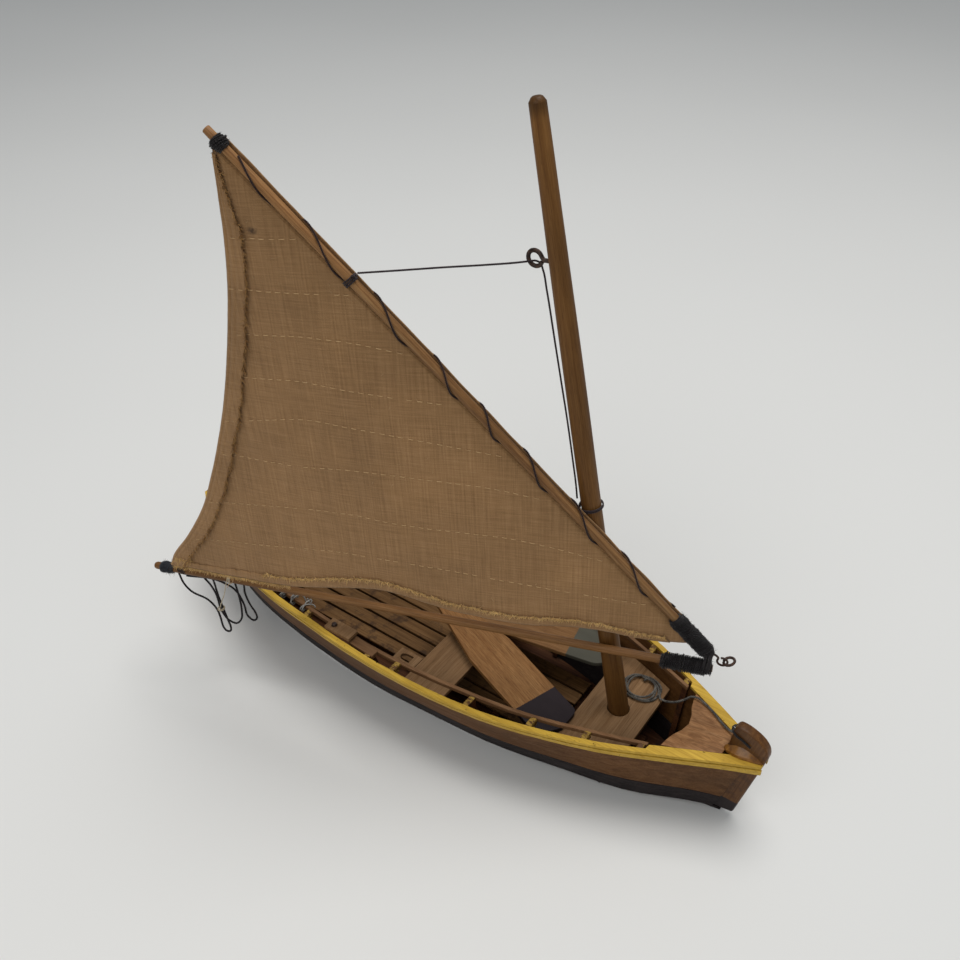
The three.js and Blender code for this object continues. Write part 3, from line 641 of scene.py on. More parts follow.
def linen(name, shade=1.0, stain=False):
    """Coarse woven cloth; its UV is millimetres along and up the sail."""
    g = Graph(name, Specular_IOR_Level=0.15, Sheen_Weight=0.12, Sheen_Roughness=0.6)
    uv = g.place.outputs["UV"]
    x, y, _ = g.split(uv)
    wander = g.noise(uv, (0.12, 0.12, 1), 2, 0.5)
    warp, weft = (
        g.math("SINE", g.math("MULTIPLY", g.math("ADD", way, wander), 2 * math.pi / WEAVE_PITCH))
        for way in (x, y)
    )
    weave = g.math("MULTIPLY", warp, weft)
    slub_x = g.noise(uv, (0.06, 1.5, 1), 4, 0.7)
    slub_y = g.noise(uv, (1.25, 0.035, 1), 4, 0.65, move=(7, 3, 0))
    blotch = g.noise(uv, (0.018, 0.018, 1), 4, 0.6)
    speck = g.noise(uv, (1.1, 1.1, 1), 3, 0.7)
    tone = g.sum(slub_x, 0.5, slub_y, 0.5)
    dark, mid, light, bright = (
        tuple(shade * c for c in colour)
        for colour in ((0.205, 0.107, 0.039), (0.312, 0.172, 0.071), (0.43, 0.248, 0.112), (0.55, 0.36, 0.18))
    )
    colour = g.ramp(tone, [(0.3, dark), (0.5, mid), (0.7, light)])
    crossing = g.math("ADD", g.math("MULTIPLY", weave, 0.25), 0.5)
    colour = g.tinted(colour, crossing, [(0.2, 0.72), (0.8, 1.2)])
    colour = g.tinted(colour, blotch, [(0.3, 0.84), (0.7, 1.1)])
    # Painted light and shade: the cloth is a little lighter low down and darker towards the peak.
    colour = g.tinted(colour, g.math("DIVIDE", y, SAIL_HEIGHT), [(0.35, 1.02), (0.95, 0.9)])
    colour = g.mix(g.ramp(speck, [(0.64, 0.0), (0.76, 0.5)]), colour, bright)
    if stain:
        spot = g.add("ShaderNodeVectorMath", {"operation": "DISTANCE"})
        g.plug(spot.inputs[0], g.scaled(uv, (1.0, STAIN_STRETCH, 1)))
        spot.inputs[1].default_value = (STAIN[0], STAIN[1] * STAIN_STRETCH, 0)
        ragged = g.math("ADD", spot.outputs["Value"], g.math("MULTIPLY", speck, 4.0))
        mark = g.ramp(g.math("DIVIDE", ragged, STAIN_REACH), [(0.25, 0.8), (0.47, 0.0)])
        colour = g.mix(mark, colour, (0.028, 0.014, 0.008))
    return g.finish(colour, 0.92, g.sum(weave, 0.3, tone, 1.4), 0.18)


def thread(name, dark, light, rough=0.85):
    """Twisted thread; its UV is millimetres along and turns round."""
    g = Graph(name, Specular_IOR_Level=0.2, Sheen_Weight=0.15, Sheen_Roughness=0.5)
    strands = 3
    uv = g.place.outputs["UV"]
    hair = g.noise(uv, (0.5, 14, 1), 3, 0.6)
    cloud = g.noise(g.place.outputs["Object"], (300, 300, 300), 4, 0.6)
    strand = g.math("COSINE", g.math("MULTIPLY", g.split(uv)[1], 2 * math.pi * strands))
    colour = g.ramp(g.sum(hair, 0.5, cloud, 0.5), [(0.36, dark), (0.64, light)])
    # Painted shade and highlight: the thread is darker in the grooves between its strands and lighter on
    # their crowns.
    painted_groove_shade = g.math("ADD", g.math("MULTIPLY", strand, 0.5), 0.5)
    colour = g.tinted(colour, painted_groove_shade, [(0.0, 1.15), (1.0, 0.55)])
    return g.finish(colour, rough, hair, 0.05)


def rusty_iron(name):
    g = Graph(name, Specular_IOR_Level=0.5)
    at = g.place.outputs["Object"]
    flake = g.noise(at, (900, 900, 900), 6, 0.65)
    cloud = g.noise(at, (260, 260, 260), 3, 0.5)
    colour = g.ramp(flake, [
        (0.35, (0.018, 0.012, 0.01)), (0.55, (0.055, 0.03, 0.021)), (0.72, (0.12, 0.055, 0.03)),
    ])
    g.plug(g.shader.inputs["Metallic"], g.ramp(cloud, [(0.4, 0.75), (0.62, 0.15)]))
    return g.finish(colour, g.ramp(flake, [(0.3, 0.4), (0.7, 0.75)]), flake, 0.08)


def board_paint(name, origin, heading, tip_dark, tip_light, dark, mid, light):
    """A stained board whose forward end is painted past a line across it."""
    g = Graph(name, Specular_IOR_Level=0.14)
    grain = (math.cos(math.radians(heading)), math.sin(math.radians(heading)), 0)
    at, fibre, ring, patch = wood_figure(g, grain)
    figure = g.sum(fibre, 0.62, ring, 0.38)
    colour = g.ramp(figure, [(0.34, dark), (0.5, mid), (0.66, light)])
    colour = g.tinted(colour, patch, [(0.3, 0.86), (0.7, 1.08)])
    dash = g.noise(at, (190, 2900, 2900), 2, 0.5)
    colour = g.tinted(colour, dash, [(0.3, 0.6), (0.44, 1.0)])
    offset = (origin[0] * grain[0] + origin[1] * grain[1]) * MM
    along = g.math("SUBTRACT", g.split(at)[0], offset)
    waver = g.math("MULTIPLY", g.math("SUBTRACT", fibre, 0.5), 0.0012)
    edge = g.math("MULTIPLY", g.math("ADD", along, waver), EDGE_SHARPNESS)
    tip = g.ramp(patch, [(0.3, tip_dark), (0.7, tip_light)])
    colour = g.mix(g.ramp(edge, [(0.0, 0.0), (1.0, 1.0)]), colour, tip)
    gloss = g.ramp(figure, [(0.3, 0.62), (0.7, 0.45)])
    return g.finish(colour, gloss, figure, 0.05)


def deck_finish():
    """Thin varnish over a mottled board."""
    g = Graph("foredeck_wood", Specular_IOR_Level=0.2, Coat_Weight=0.08, Coat_Roughness=0.3)
    at, fibre, _, _ = wood_figure(g, (1, 0.15, 0))
    curl = g.noise(at, (120, 420, 200), 5, 0.62, 1.2)
    colour = g.ramp(curl, [
        (0.32, (0.165, 0.07, 0.022)), (0.5, (0.25, 0.115, 0.042)), (0.68, (0.35, 0.18, 0.075)),
    ])
    colour = g.tinted(colour, fibre, [(0.3, 0.72), (0.6, 1.05)])
    return g.finish(colour, g.ramp(curl, [(0.3, 0.5), (0.7, 0.32)]), curl, 0.06)


def glue_finish():
    """Glossy amber glue."""
    g = Graph("amber_glue", Specular_IOR_Level=0.3, Coat_Weight=0.2, Coat_Roughness=0.25)
    cloud = g.noise(g.place.outputs["Object"], (240, 240, 240), 4, 0.6)
    colour = g.ramp(cloud, [(0.35, (0.115, 0.042, 0.007)), (0.65, (0.29, 0.125, 0.02))])
    return g.finish(colour, g.ramp(cloud, [(0.3, 0.3), (0.7, 0.18)]), cloud, 0.1)


black_wood = wood(
    "black_planking", (0.01, 0.007, 0.007), (0.02, 0.015, 0.015), (0.036, 0.027, 0.026),
    rough=(0.55, 0.8), pores=0.25,
)
upper_wood = wood(
    "brown_planking", (0.068, 0.026, 0.007), (0.116, 0.049, 0.014), (0.172, 0.077, 0.025),
    rough=(0.45, 0.65), pores=0.3,
)
inner_wood = wood(
    "inside_brown", (0.028, 0.009, 0.004), (0.08, 0.028, 0.01), (0.15, 0.058, 0.022),
    rough=(0.45, 0.75), pores=0.4, grime=(0.014, 0.008, 0.006),
)
slat_wood = wood(
    "floor_board", (0.08, 0.038, 0.012), (0.145, 0.073, 0.026), (0.215, 0.118, 0.048),
    rough=(0.5, 0.75), pores=0.35, grime=(0.03, 0.015, 0.009),
)
inwale_wood = wood(
    "inwale_brown", (0.1, 0.045, 0.018), (0.185, 0.094, 0.042), (0.27, 0.15, 0.073),
    rough=(0.45, 0.7), pores=0.3,
)
seat_wood = wood(
    "seat_wood", (0.13, 0.066, 0.026), (0.2, 0.11, 0.05), (0.27, 0.16, 0.078), grain=(0, 1, 0),
    rough=(0.5, 0.72), pores=0.35,
)
mast_wood = wood(
    "mast_wood", (0.095, 0.037, 0.008), (0.145, 0.063, 0.015), (0.2, 0.094, 0.027), grain=mast_direction,
    rough=(0.4, 0.6), pores=0.4, coat=0.06,
    tones=(MAST_FOOT, 305, [(0.0, 0.5), (0.1, 0.8), (0.3, 0.9), (0.6, 1.0), (0.975, 1.1), (0.99, 0.5)]),
)
yard_wood = wood(
    "yard_wood", (0.1, 0.04, 0.013), (0.235, 0.116, 0.042), (0.4, 0.232, 0.098), grain=yard_direction,
    rough=(0.38, 0.55), pores=0.35, coat=0.1,
    tones=(yard_tack, 295, [(0.1, 0.82), (0.5, 0.95), (0.72, 0.92), (0.86, 1.25), (1.0, 1.3)]),
)
# The boom's tones are painted light and shade: lighter along its forward half and middle where light falls,
# darker at its after end in the sail's shadow.
boom_wood = wood(
    "boom_wood", (0.1, 0.041, 0.012), (0.185, 0.085, 0.027), (0.275, 0.14, 0.05), grain=boom_direction,
    rough=(0.42, 0.6), pores=0.4, coat=0.1,
    tones=(boom_front, 285, [(0.1, 0.9), (0.25, 1.2), (0.5, 1.15), (0.7, 1.0), (0.84, 0.9), (0.95, 0.85)]),
)
stem_wood = wood(
    "stem_varnish", (0.062, 0.022, 0.006), (0.112, 0.046, 0.013), (0.18, 0.08, 0.025), grain=(0.2, 0, 1),
    rough=(0.3, 0.5), pores=0.35, coat=0.12, grime=(0.06, 0.025, 0.01),
    below=(12.9, (0.02, 0.014, 0.014)),
)
yellow = painted("yellow_paint", (0.62, 0.4, 0.052), (0.4, 0.235, 0.026), (0.07, 0.035, 0.012), chips=0.635)
daubed = painted("daubed_yellow", (0.4, 0.25, 0.045), (0.22, 0.125, 0.025), (0.085, 0.038, 0.014), chips=0.49)
board_starboard = board_paint(
    "starboard_board", (62, -21), -19.27, (0.014, 0.009, 0.011), (0.026, 0.017, 0.02),
    (0.15, 0.062, 0.018), (0.235, 0.11, 0.036), (0.32, 0.165, 0.06),
)
board_port = board_paint(
    "port_board", (56.4, 24.2), 10.5, (0.06, 0.056, 0.042), (0.095, 0.092, 0.072),
    (0.13, 0.056, 0.018), (0.2, 0.098, 0.036), (0.27, 0.145, 0.06),
)
cloth = linen("linen", stain=True)
hem_cloth = linen("linen_hem", shade=1.03)
foot_cloth = linen("linen_foot", shade=1.03)
# The leech fringe: its own brown thread colour, darkened as painted shade for the shadow line along the hem's
# inner edge.
fray_partly_shaded = thread("frayed_linen_painted_shade", (0.22, 0.1, 0.03), (0.6, 0.34, 0.12), rough=0.95)
gold_fray = thread("golden_fray", (0.46, 0.26, 0.08), (0.95, 0.64, 0.26), rough=0.95)
stitch_thread = thread("stitch_thread", (0.42, 0.25, 0.11), (0.7, 0.46, 0.23), rough=0.9)
black_thread = thread("black_thread", (0.008, 0.006, 0.007), (0.026, 0.021, 0.022))
slate_thread = thread("slate_thread", (0.016, 0.018, 0.024), (0.05, 0.055, 0.066))
halyard_thread = thread("halyard_cord", (0.014, 0.008, 0.01), (0.05, 0.034, 0.038))
lacing_thread = thread("lacing_cord", (0.012, 0.004, 0.003), (0.04, 0.017, 0.012))
painter_thread = thread("painter_cord", (0.014, 0.012, 0.011), (0.19, 0.175, 0.15))
string_thread = thread("grey_string", (0.14, 0.135, 0.125), (0.46, 0.44, 0.41))
pale_thread = thread("pale_thread", (0.4, 0.32, 0.2), (0.7, 0.6, 0.44))
# A white for the painted highlight on the painter's hitch at the stem head.
painted_highlight_white = thread("painted_highlight_white", (0.5, 0.48, 0.44), (0.75, 0.73, 0.68))
iron = rusty_iron("rusty_iron")
deck_wood = deck_finish()
glue = glue_finish()

# ---------------------------------------------------------------- floor
def make_floor():
    g = Graph("floor_paper", Specular_IOR_Level=0.2)
    cloud = g.noise(g.place.outputs["Object"], (2, 2, 2), 2, 0.5)
    colour = g.ramp(cloud, [(0.3, (0.70, 0.70, 0.69)), (0.7, (0.72, 0.72, 0.71))])
    half = 8.0
    corners = [(-half, -half, 0), (half, -half, 0), (half, half, 0), (-half, half, 0)]
    mesh = bpy.data.meshes.new("floor")
    mesh.from_pydata(corners, [], [(0, 1, 2, 3)])
    linked("floor", mesh, g.finish(colour, 0.85))


make_floor()

# ---------------------------------------------------------------- cords
HALYARD_ROUTE = [
    [-15.8, -35.1, 240], [-2, -26.6, 241.6], [12, -18, 243.3], [26, -9.6, 244.9], [35.5, -4, 246.2],
    [39.2, -1.6, 246.8], [41.2, 0.2, 246.9], [42.3, 1.5, 245.9], [43.2, 2.3, 243], [45.2, 2.4, 235],
    [50, 2, 215], [54, 1.6, 198.5], [58, 1.2, 182], [61.7, 0.6, 166], [65.2, -0.2, 150.5],
    [66.1, -0.7, 146.6],
]
SHEET_ROUTE = [
    [270.4, 57, 0], [268.8, 49.6, 0], [265.9, 45.6, 0], [255.6, 41.6, 0], [251.8, 37.4, 0.4],
    [250.2, 31.2, 0.8], [249.8, 24.6, 0.8], [249.1, 22.7, 0.8], [247.4, 21.8, 0.8], [245.7, 22.7, 0.8],
    [245.1, 24.8, 0.8], [246.3, 31.4, 0.5], [250.5, 45.4, -1.6], [253.2, 56.4, -3.2], [255, 59.6, -3.6],
    [257.6, 60.1, -3.6], [259.2, 58, -3.4], [257.8, 55.4, -2.6], [254.4, 53.4, -1.5], [250.6, 49.2, 0],
    [247.7, 38.4, 1.8], [244.4, 32.6, 2], [240.4, 31.2, 1.9], [236.9, 35, 1.7], [235.5, 42, 1.5],
    [238, 54.8, -1.4], [239.9, 60.6, -3.3], [238.3, 63, -3.6], [236, 62.6, -3.6], [234.8, 59.6, -3.5],
    [234.6, 50.4, -2.8], [232.6, 43.2, -2.4], [229.8, 38, -2], [229.5, 34.8, -1.8], [231.8, 32.6, -1.6],
    [234.1, 34.8, -1.3], [234.9, 44.6, -0.5], [238.8, 54.6, -0.3], [246.4, 57.9, -0.2], [265.6, 56.6, 0.3],
]
PAINTER_ROUTE = [
    [110.1, 15.3, 33.7], [112.4, 14.7, 34.4], [115.4, 13.7, 36.6], [119.4, 12.7, 40.4], [122.8, 13.1, 44],
    [125.2, 14.1, 46.6], [128, 14.6, 47.4], [132.6, 13.6, 47.1], [136.4, 12, 47.1], [140, 10, 47.1],
    [144.2, 7.6, 47.1], [147.8, 6.1, 47.3], [150.4, 5.1, 48.6], [152, 4.3, 50.8], [153.8, 3.8, 52.4],
]
COIL_CENTRE = (99.5, 16.2)
HALYARD_D, SHEET_D, PAINTER_D, LACING_D, TIE_D, STRING_D = 0.9, 1.2, 1.15, 0.95, 0.55, 0.8


def declare(line):
    line_length(line) * MM


def spar_turns(centre, direction, radius_up, radius_out, turns, pitch, phase, per_turn=20, shift=(0, 0)):
    """Turns round a spar: an oval of two radii, above and out from the line, advancing by a pitch."""
    up = upright(direction)
    out = np.cross(up, direction)
    if out @ OUTWARD < 0:
        out = -out
    k = np.arange(int(turns * per_turn) + 1)
    angle = phase + 2 * np.pi * k / per_turn
    along = pitch * k / per_turn
    return (
        np.asarray(centre) + direction * along[:, None]
        + up * (shift[0] + radius_up * np.cos(angle))[:, None]
        + out * (shift[1] + radius_out * np.sin(angle))[:, None]
    )


def oval_turns(centre, axis, radius_x, radius_y, turns, pitch, phase):
    """Turns round an axis that is nearly upright, with radii along X and Y."""
    x = unit(ALONG_X - axis * axis[0])
    y = np.cross(axis, x)
    per_turn = 20
    k = np.arange(int(turns * per_turn) + 1)
    angle = phase + 2 * np.pi * k / per_turn
    return (
        np.asarray(centre) + axis * (pitch * k / per_turn)[:, None]
        + x * (radius_x * np.cos(angle))[:, None] + y * (radius_y * np.sin(angle))[:, None]
    )


def overhand(name, centre, axis, side, size, diameter, material):
    """A small tight overhand knot."""
    t = np.linspace(0, 2 * np.pi, 60)[:-4]
    lift = np.cross(axis, side)
    form = (
        np.outer(np.sin(t) + 1.7 * np.sin(2 * t), axis) * 0.36
        + np.outer(np.cos(t) - 1.7 * np.cos(2 * t), side) * 0.36
        + np.outer(-np.sin(3 * t), lift) * 0.45
    )
    return rope(name, smooth_line(np.asarray(centre) + form * size, 0.2), diameter, material, 3, 2.2, 8)


def make_halyard():
    line = smooth_line(HALYARD_ROUTE, 0.28)
    piece = rope("halyard_cord", line, HALYARD_D, halyard_thread, 3, 2.2)
    belongs(piece, "rig", "grey_cord", "halyard")
    turns_d = 0.75
    distance = float((np.array(HALYARD_ROUTE[0]) - yard_tack) @ yard_direction)
    centre = yard_tack + yard_direction * (distance - 1.2)
    wraps = spar_turns(centre, yard_direction, 3.1, 3.0, 2.3, 0.9, 0.4, shift=(-0.4, -0.35))
    hitch = rope("halyard_hitch", smooth_line(wraps, 0.35), turns_d, halyard_thread, 3, 2.2)
    top = centre + yard_up * 2.9 + yard_direction * 1.0 + OUTWARD * 0.9
    knot = overhand("halyard_knot", top, yard_direction, OUTWARD, 1.15, 0.8, halyard_thread)
    loop = oval_turns(mast_at(144.5), mast_direction, 4.95, 4.95, 2.2, 0.8, 2.6)
    foot = rope("halyard_mast_turns", smooth_line(loop, 0.4), turns_d, halyard_thread, 3, 2.2)
    for item in (hitch, knot, foot):
        belongs(item, "rig", "grey_cord")
    declare(line)


# Distances up the yard at which the lacing crosses its starboard face.
LACING_CROSSINGS = (49.5, 82.5, 113.6, 141.5, 166, 196.8, 232.4, 271)


def make_lacing():
    turn = np.arange(0.12, len(LACING_CROSSINGS), 1 / 28)
    distance = through([[n + 0.75, d] for n, d in enumerate(LACING_CROSSINGS)])(turn)
    angle = 2 * np.pi * turn
    across = np.cross(yard_direction, yard_up)
    behind = np.maximum(np.sin(angle), 0)
    reach = yard_radius(distance) + 0.45 + 0.95 * behind + 0.25 * np.abs(np.cos(angle))
    line = (
        yard_tack + yard_direction * distance[:, None]
        + yard_up * (reach * np.cos(angle))[:, None] + across * (reach * np.sin(angle))[:, None]
    )
    line = smooth_line(line, 0.4)
    piece = rope("yard_lacing_cord", line, LACING_D, lacing_thread, 3, 2.4, 9)
    belongs(piece, "rig", "tan_cord", "yard_lacing")
    declare(line)


def eased(line, passes):
    """The same line with its sharpest bends relaxed, its two ends left where they are."""
    line = line.copy()
    for _ in range(passes):
        line[1:-1] = 0.25 * line[:-2] + 0.5 * line[1:-1] + 0.25 * line[2:]
    return line


def make_sheet():
    """The sheet's slack loops under the boom's after end, and the pale thread that ties them up."""
    line = eased(smooth_line(rig_line(SHEET_ROUTE), 0.35), 20)
    piece = rope("sheet_cord", line, SHEET_D, black_thread, 3, 2.9)
    belongs(piece, "boom", "black_thread", "sheet")
    tie_down = rig_line([[241.4, 58.4, 2.6], [242.9, 53.6, 2.1], [244.4, 49.6, 1.9], [246.1, 45.9, 1.8]])
    boom_at = boom_front + boom_direction * 239.2
    round_boom = spar_turns(boom_at, boom_direction, 2.3, 2.35, 2.22, 0.62, 0.2)
    round_sheet = oval_turns(rig(248.4, 39.4, 0.8), UPWARD, 1.6, 1.9, 2.6, -0.45, -1.2)
    tie_line = smooth_line(np.concatenate([round_boom[:-1], tie_down, round_sheet[2:]]), 0.3)
    tie_line = eased(tie_line, 6)
    tie = rope("sheet_tie", tie_line, TIE_D, pale_thread, 2, 1.6, 8)
    knot = overhand("sheet_tie_knot", tie_line[-1], UPWARD, OUTWARD, 0.7, TIE_D, pale_thread)
    for item in (tie, knot):
        belongs(item, "boom")
    declare(tie_line)
    declare(line)


def make_painter():
    """From the stem head back over the foredeck and down to its coil on the mast seat."""
    lead = np.array(PAINTER_ROUTE[::-1])
    turns, per_turn = 3.3, 16
    k = np.arange(int(turns * per_turn) + 1)
    begin = math.atan2(lead[-1][1] - COIL_CENTRE[1], lead[-1][0] - COIL_CENTRE[0])
    angle = begin + 0.25 + 2 * np.pi * k / per_turn
    share = k / k[-1]
    radius = 9.2 - 2.9 * share + 0.5 * np.sin(2.3 * angle)
    coil = np.stack([
        COIL_CENTRE[0] + radius * np.cos(angle),
        COIL_CENTRE[1] + radius * 0.95 * np.sin(angle),
        33.15 + 1.3 * share + 0.25 * np.sin(3 * angle),
    ], axis=-1)
    line = smooth_line(np.concatenate([lead, coil]), 0.4)
    piece = rope("painter_cord", line, PAINTER_D, painter_thread, 3, 3.2)
    belongs(piece, "hull", "grey_cord", "painter_lead", "painter_coil")
    end = overhand("painter_end_knot", line[-1], ALONG_Y, ALONG_X, 1.1, 1.0, painter_thread)
    stem_lean = np.array([0.06, -0.3, 0.95])
    stem_turns = oval_turns([151.5, 2.9, 53.0], stem_lean, 1.6, 1.5, 3.3, 1.0, 0.4)
    tail = [
        [151.4, -0.6, 57.6], [151.7, -2.3, 57.9], [153.4, -3.1, 57.2], [156.4, -3.0, 56.0],
        [160.4, -3.0, 53.8],
    ]
    hitch_line = smooth_line(np.concatenate([stem_turns[:-3], tail]), 0.35)
    hitch = rope("painter_hitch", hitch_line, PAINTER_D, black_thread, 3, 3.2)
    for item in (end, hitch):
        belongs(item, "hull", "grey_cord")
    declare(line)
    # Painted highlight: two short white streaks along the hitch stand for light glinting off the cord.
    highlight_streaks = [
        [[151.4, 3.9, 55.4], [151.8, 3.1, 56.8], [152.8, 2.2, 57.6], [153.9, 1.5, 58.6]],
        [[150.7, 3.0, 54.6], [150.6, 1.8, 56.2], [151.1, 0.6, 57.4], [152.0, -0.4, 58.4]],
    ]
    parts = [tube_parts(smooth_line(b, 0.3), 0.28, 6) for b in highlight_streaks]
    belongs(parts_object("stem_hitch_painted_highlight", parts, painted_highlight_white), "hull")


def make_tangle():
    """Grey string wound loosely round the starboard inwale near the stern."""
    t = np.linspace(0, 1, 110)
    x = -80 + 23 * t + 2.4 * np.sin(19 * t)
    angle = 2 * np.pi * 6.3 * t
    loose = 1 + 0.35 * np.sin(31 * t) * np.maximum(np.cos(angle), 0)
    y = np.array([-inwale_centre(v) for v in x])
    z = np.array([sheer(v) - 1.2 for v in x])
    line = np.stack([x, y + 3.1 * loose * np.sin(angle), z + 2.7 * loose * np.cos(angle)], axis=-1)
    line = smooth_line(line, 0.4)
    piece = rope("inwale_string", line, STRING_D, string_thread, 3, 2.6)
    belongs(piece, "hull", "grey_cord")
    knots = []
    for i, at in enumerate((0.14, 0.47, 0.83)):
        place, name = line[int(at * len(line))], f"inwale_string_knot_{i + 1}"
        knots.append(overhand(name, place, ALONG_X, ALONG_Y, 1.5, STRING_D, string_thread))
        belongs(knots[-1], "hull")
    declare(line)


make_halyard()
make_lacing()
make_sheet()
make_painter()
make_tangle()


# ---------------------------------------------------------------- lashings
def wound(start, direction, begin, finish, radius, size, layer):
    """One uneven layer of thread round a spar, as a line."""
    per_turn = 18
    inset = 1.3 * layer
    b, f = begin + inset, finish - inset * 0.6
    turns = (f - b) / (size * (0.8 + 0.12 * layer))
    ring = radius + size * (0.45 + 0.62 * layer)
    phase = 0.7 * layer
    line = spar_turns(start + direction * b, direction, ring, ring, turns, (f - b) / turns, phase, per_turn)
    k = np.arange(len(line))
    wave = np.array([noise.noise(Vector((i * 0.045, layer * 7.3, 1.7))) for i in k])
    axis_point = start + direction * ((line - start) @ direction)[:, None]
    outward = (line - axis_point) / np.linalg.norm(line - axis_point, axis=1)[:, None]
    line = line + outward * (wave * 0.45)[:, None]
    lean = 0.0 if layer == 0 else 0.5
    return line + direction * (lean * np.sin(2 * np.pi * k / per_turn) + wave * 0.2)[:, None]


def lashing(name, node, body, spar, begin, finish, radius, material, size, layers):
    """Thread wound round a spar in uneven layers, with loose fibres. The spar is its end and direction."""
    start, direction = spar
    parts = [
        tube_parts(wound(start, direction, begin, finish, radius, size, layer), size / 2, 8, 2, 0.16, 2.4)
        for layer in range(layers)
    ]
    belongs(parts_object(name, parts, material), body, "black_thread", node)
    roots, heads, lengths = [], [], []
    up = upright(direction)
    side = np.cross(direction, up)
    fibres_per_mm = 26
    for _ in range(int(fibres_per_mm * (finish - begin))):
        angle = random.uniform(0, 2 * np.pi)
        ray = up * math.cos(angle) + side * math.sin(angle)
        at = start + direction * random.uniform(begin, finish)
        roots.append(at + ray * (radius + size * 1.1))
        heads.append(ray * 0.5 + random.normal(size=3) * 0.8)
        lengths.append(random.uniform(0.5, 1.5))
    belongs(fibres(name + "_fuzz", roots, heads, lengths, 0.075, material, 0.1), body)


on_yard, on_boom = (yard_tack, yard_direction), (boom_front, boom_direction)
lashing("peak_thread", "peak_lashing", "rig", on_yard, 284.9, 290.2, 1.9, black_thread, 0.85, 3)
lashing("yard_tack_thread", "yard_tack_lashing", "rig", on_yard, 1.2, 25.4, 2.05, black_thread, 0.85, 3)
lashing("boom_tack_thread", "boom_tack_lashing", "boom", on_boom, 0.4, 22.6, 2.05, black_thread, 0.85, 3)
lashing("clew_thread", "clew_lashing", "boom", on_boom, 272.8, 280.4, 2.0, slate_thread, 0.7, 2)


def make_tack_seizing():
    """A few turns that hold the yard's foot and the boom's front end together."""
    turns, per_turn = 5, 24
    k = np.arange(turns * per_turn + 1) / per_turn
    angle = 2 * np.pi * k
    along = 1.2 + 3.4 * k / turns + 0.5 * np.sin(angle * 0.37)
    line = rig(along, 80.0 + 5.1 * np.cos(angle), -1.5 + 3.9 * np.sin(angle))
    seizing = rope("tack_seizing", smooth_line(line, 0.35), 0.9, black_thread, 3, 2.2, 8)
    belongs(seizing, "rig", "black_thread")


def make_clew_tie():
    """Turns of thread that hold the sail's after corner down on the boom."""
    centre = boom_front + boom_direction * 265.5
    line = spar_turns(centre, boom_direction, 5.3, 2.35, 4.3, 0.85, 0.3, 24, (3.0, 0.1))
    tie = rope("clew_tie", smooth_line(line, 0.35), 0.6, lacing_thread, 3, 2.2, 8)
    belongs(tie, "boom", "black_thread")


make_tack_seizing()
make_clew_tie()

# ---------------------------------------------------------------- sail
LEECH_HEM = 8.6
# Heights of the stitch rows by distance aft; each row dips and rises with the hand that sewed it.
STITCH_ROWS = (
    [[48, 82], [75, 84], [119, 86], [167, 84], [193, 80], [226, 73], [247, 68]],
    [[48, 105], [74, 105.6], [119, 106.3], [167, 104.2], [193, 100], [230, 91.6]],
    [[54, 124.3], [75, 127.4], [97, 128.8], [142, 126.8], [165, 126.8], [190, 123.6], [227, 116.2]],
    [[84, 151], [98, 152.5], [119, 152.5], [164, 150.6], [188, 147.1], [216, 144.6]],
    [[100, 168.8], [140, 171.4], [162, 172], [185, 171.7], [211, 165.3]],
    [[120, 189], [161, 189.6], [184, 190], [208, 186.7]],
    [[140, 209.2], [160, 211.1], [181, 210.8], [205, 207.3]],
    [[159, 231], [202, 227.6]],
    [[180, 251], [204, 249]],
)
boom_slope = (BOOM_END_HEIGHT - BOOM_FRONT_HEIGHT) / BOOM_REACH


def cloth_uv(places):
    """Millimetres along the boom and up from it."""
    a, rise = places[..., 0], places[..., 1] - BOOM_FRONT_HEIGHT
    length = math.hypot(1, boom_slope)
    along = (a + boom_slope * rise) / length
    up = (rise - boom_slope * a) / length
    return np.stack([along, up], axis=-1)


def ripple(places):
    """Small uneven waves of the cloth, out of its plane."""
    flat = places.reshape(-1, 3)
    value = [
        0.55 * noise.noise(Vector((a * 0.022, z * 0.03, 0.3)))
        + 0.22 * noise.noise(Vector((a * 0.09, z * 0.07, 4.1)))
        + 0.07 * noise.noise(Vector((a * 0.32, z * 0.3, 9.7)))
        for a, z, _ in flat
    ]
    return np.array(value).reshape(places.shape[:-1])


clew_lift = through([[165, 0], [185, 0], [205, 0.8], [225, 3.6], [248, 4.0], [262, 4.2], [270.5, 3.6]])
RIPPLE_DEPTH = 1.3
CLOTH_THICKNESS = 0.42


def sail_surface(u, v, out=0.0):
    """A place on the rippled sail; out lifts it off the cloth's middle to starboard."""
    places = sail_place(u, v)
    places[..., 1] += clew_lift(places[..., 0]) * np.clip(1 - v, 0, 1) ** 9
    fade = np.clip(np.minimum(u, 1) * 6, 0, 1)
    places[..., 2] += ripple(places) * fade * RIPPLE_DEPTH + out
    return places


def grid_faces(rows, columns):
    return [
        (r * columns + c, r * columns + c + 1, (r + 1) * columns + c + 1, (r + 1) * columns + c)
        for r in range(rows - 1) for c in range(columns - 1)
    ]


def cloth_piece(name, places, material):
    rows, columns = places.shape[:2]
    points = rig_line(places).reshape(-1, 3)
    item = new_object(name, points, grid_faces(rows, columns), material, cloth_uv(places).reshape(-1, 2))
    solid = item.modifiers.new("thickness", "SOLIDIFY")
    solid.thickness = CLOTH_THICKNESS * MM
    solid.offset = 0
    return item


# Square to the yard in the sail's plane, away from the yard on the sail's side: its shares aft and up.
normal_size = math.hypot(yard_rise, yard_run)
normal_a, normal_z = yard_rise / normal_size, -yard_run / normal_size


LUFF_CLIMB = 5.8
LUFF_BEHIND = -2.75


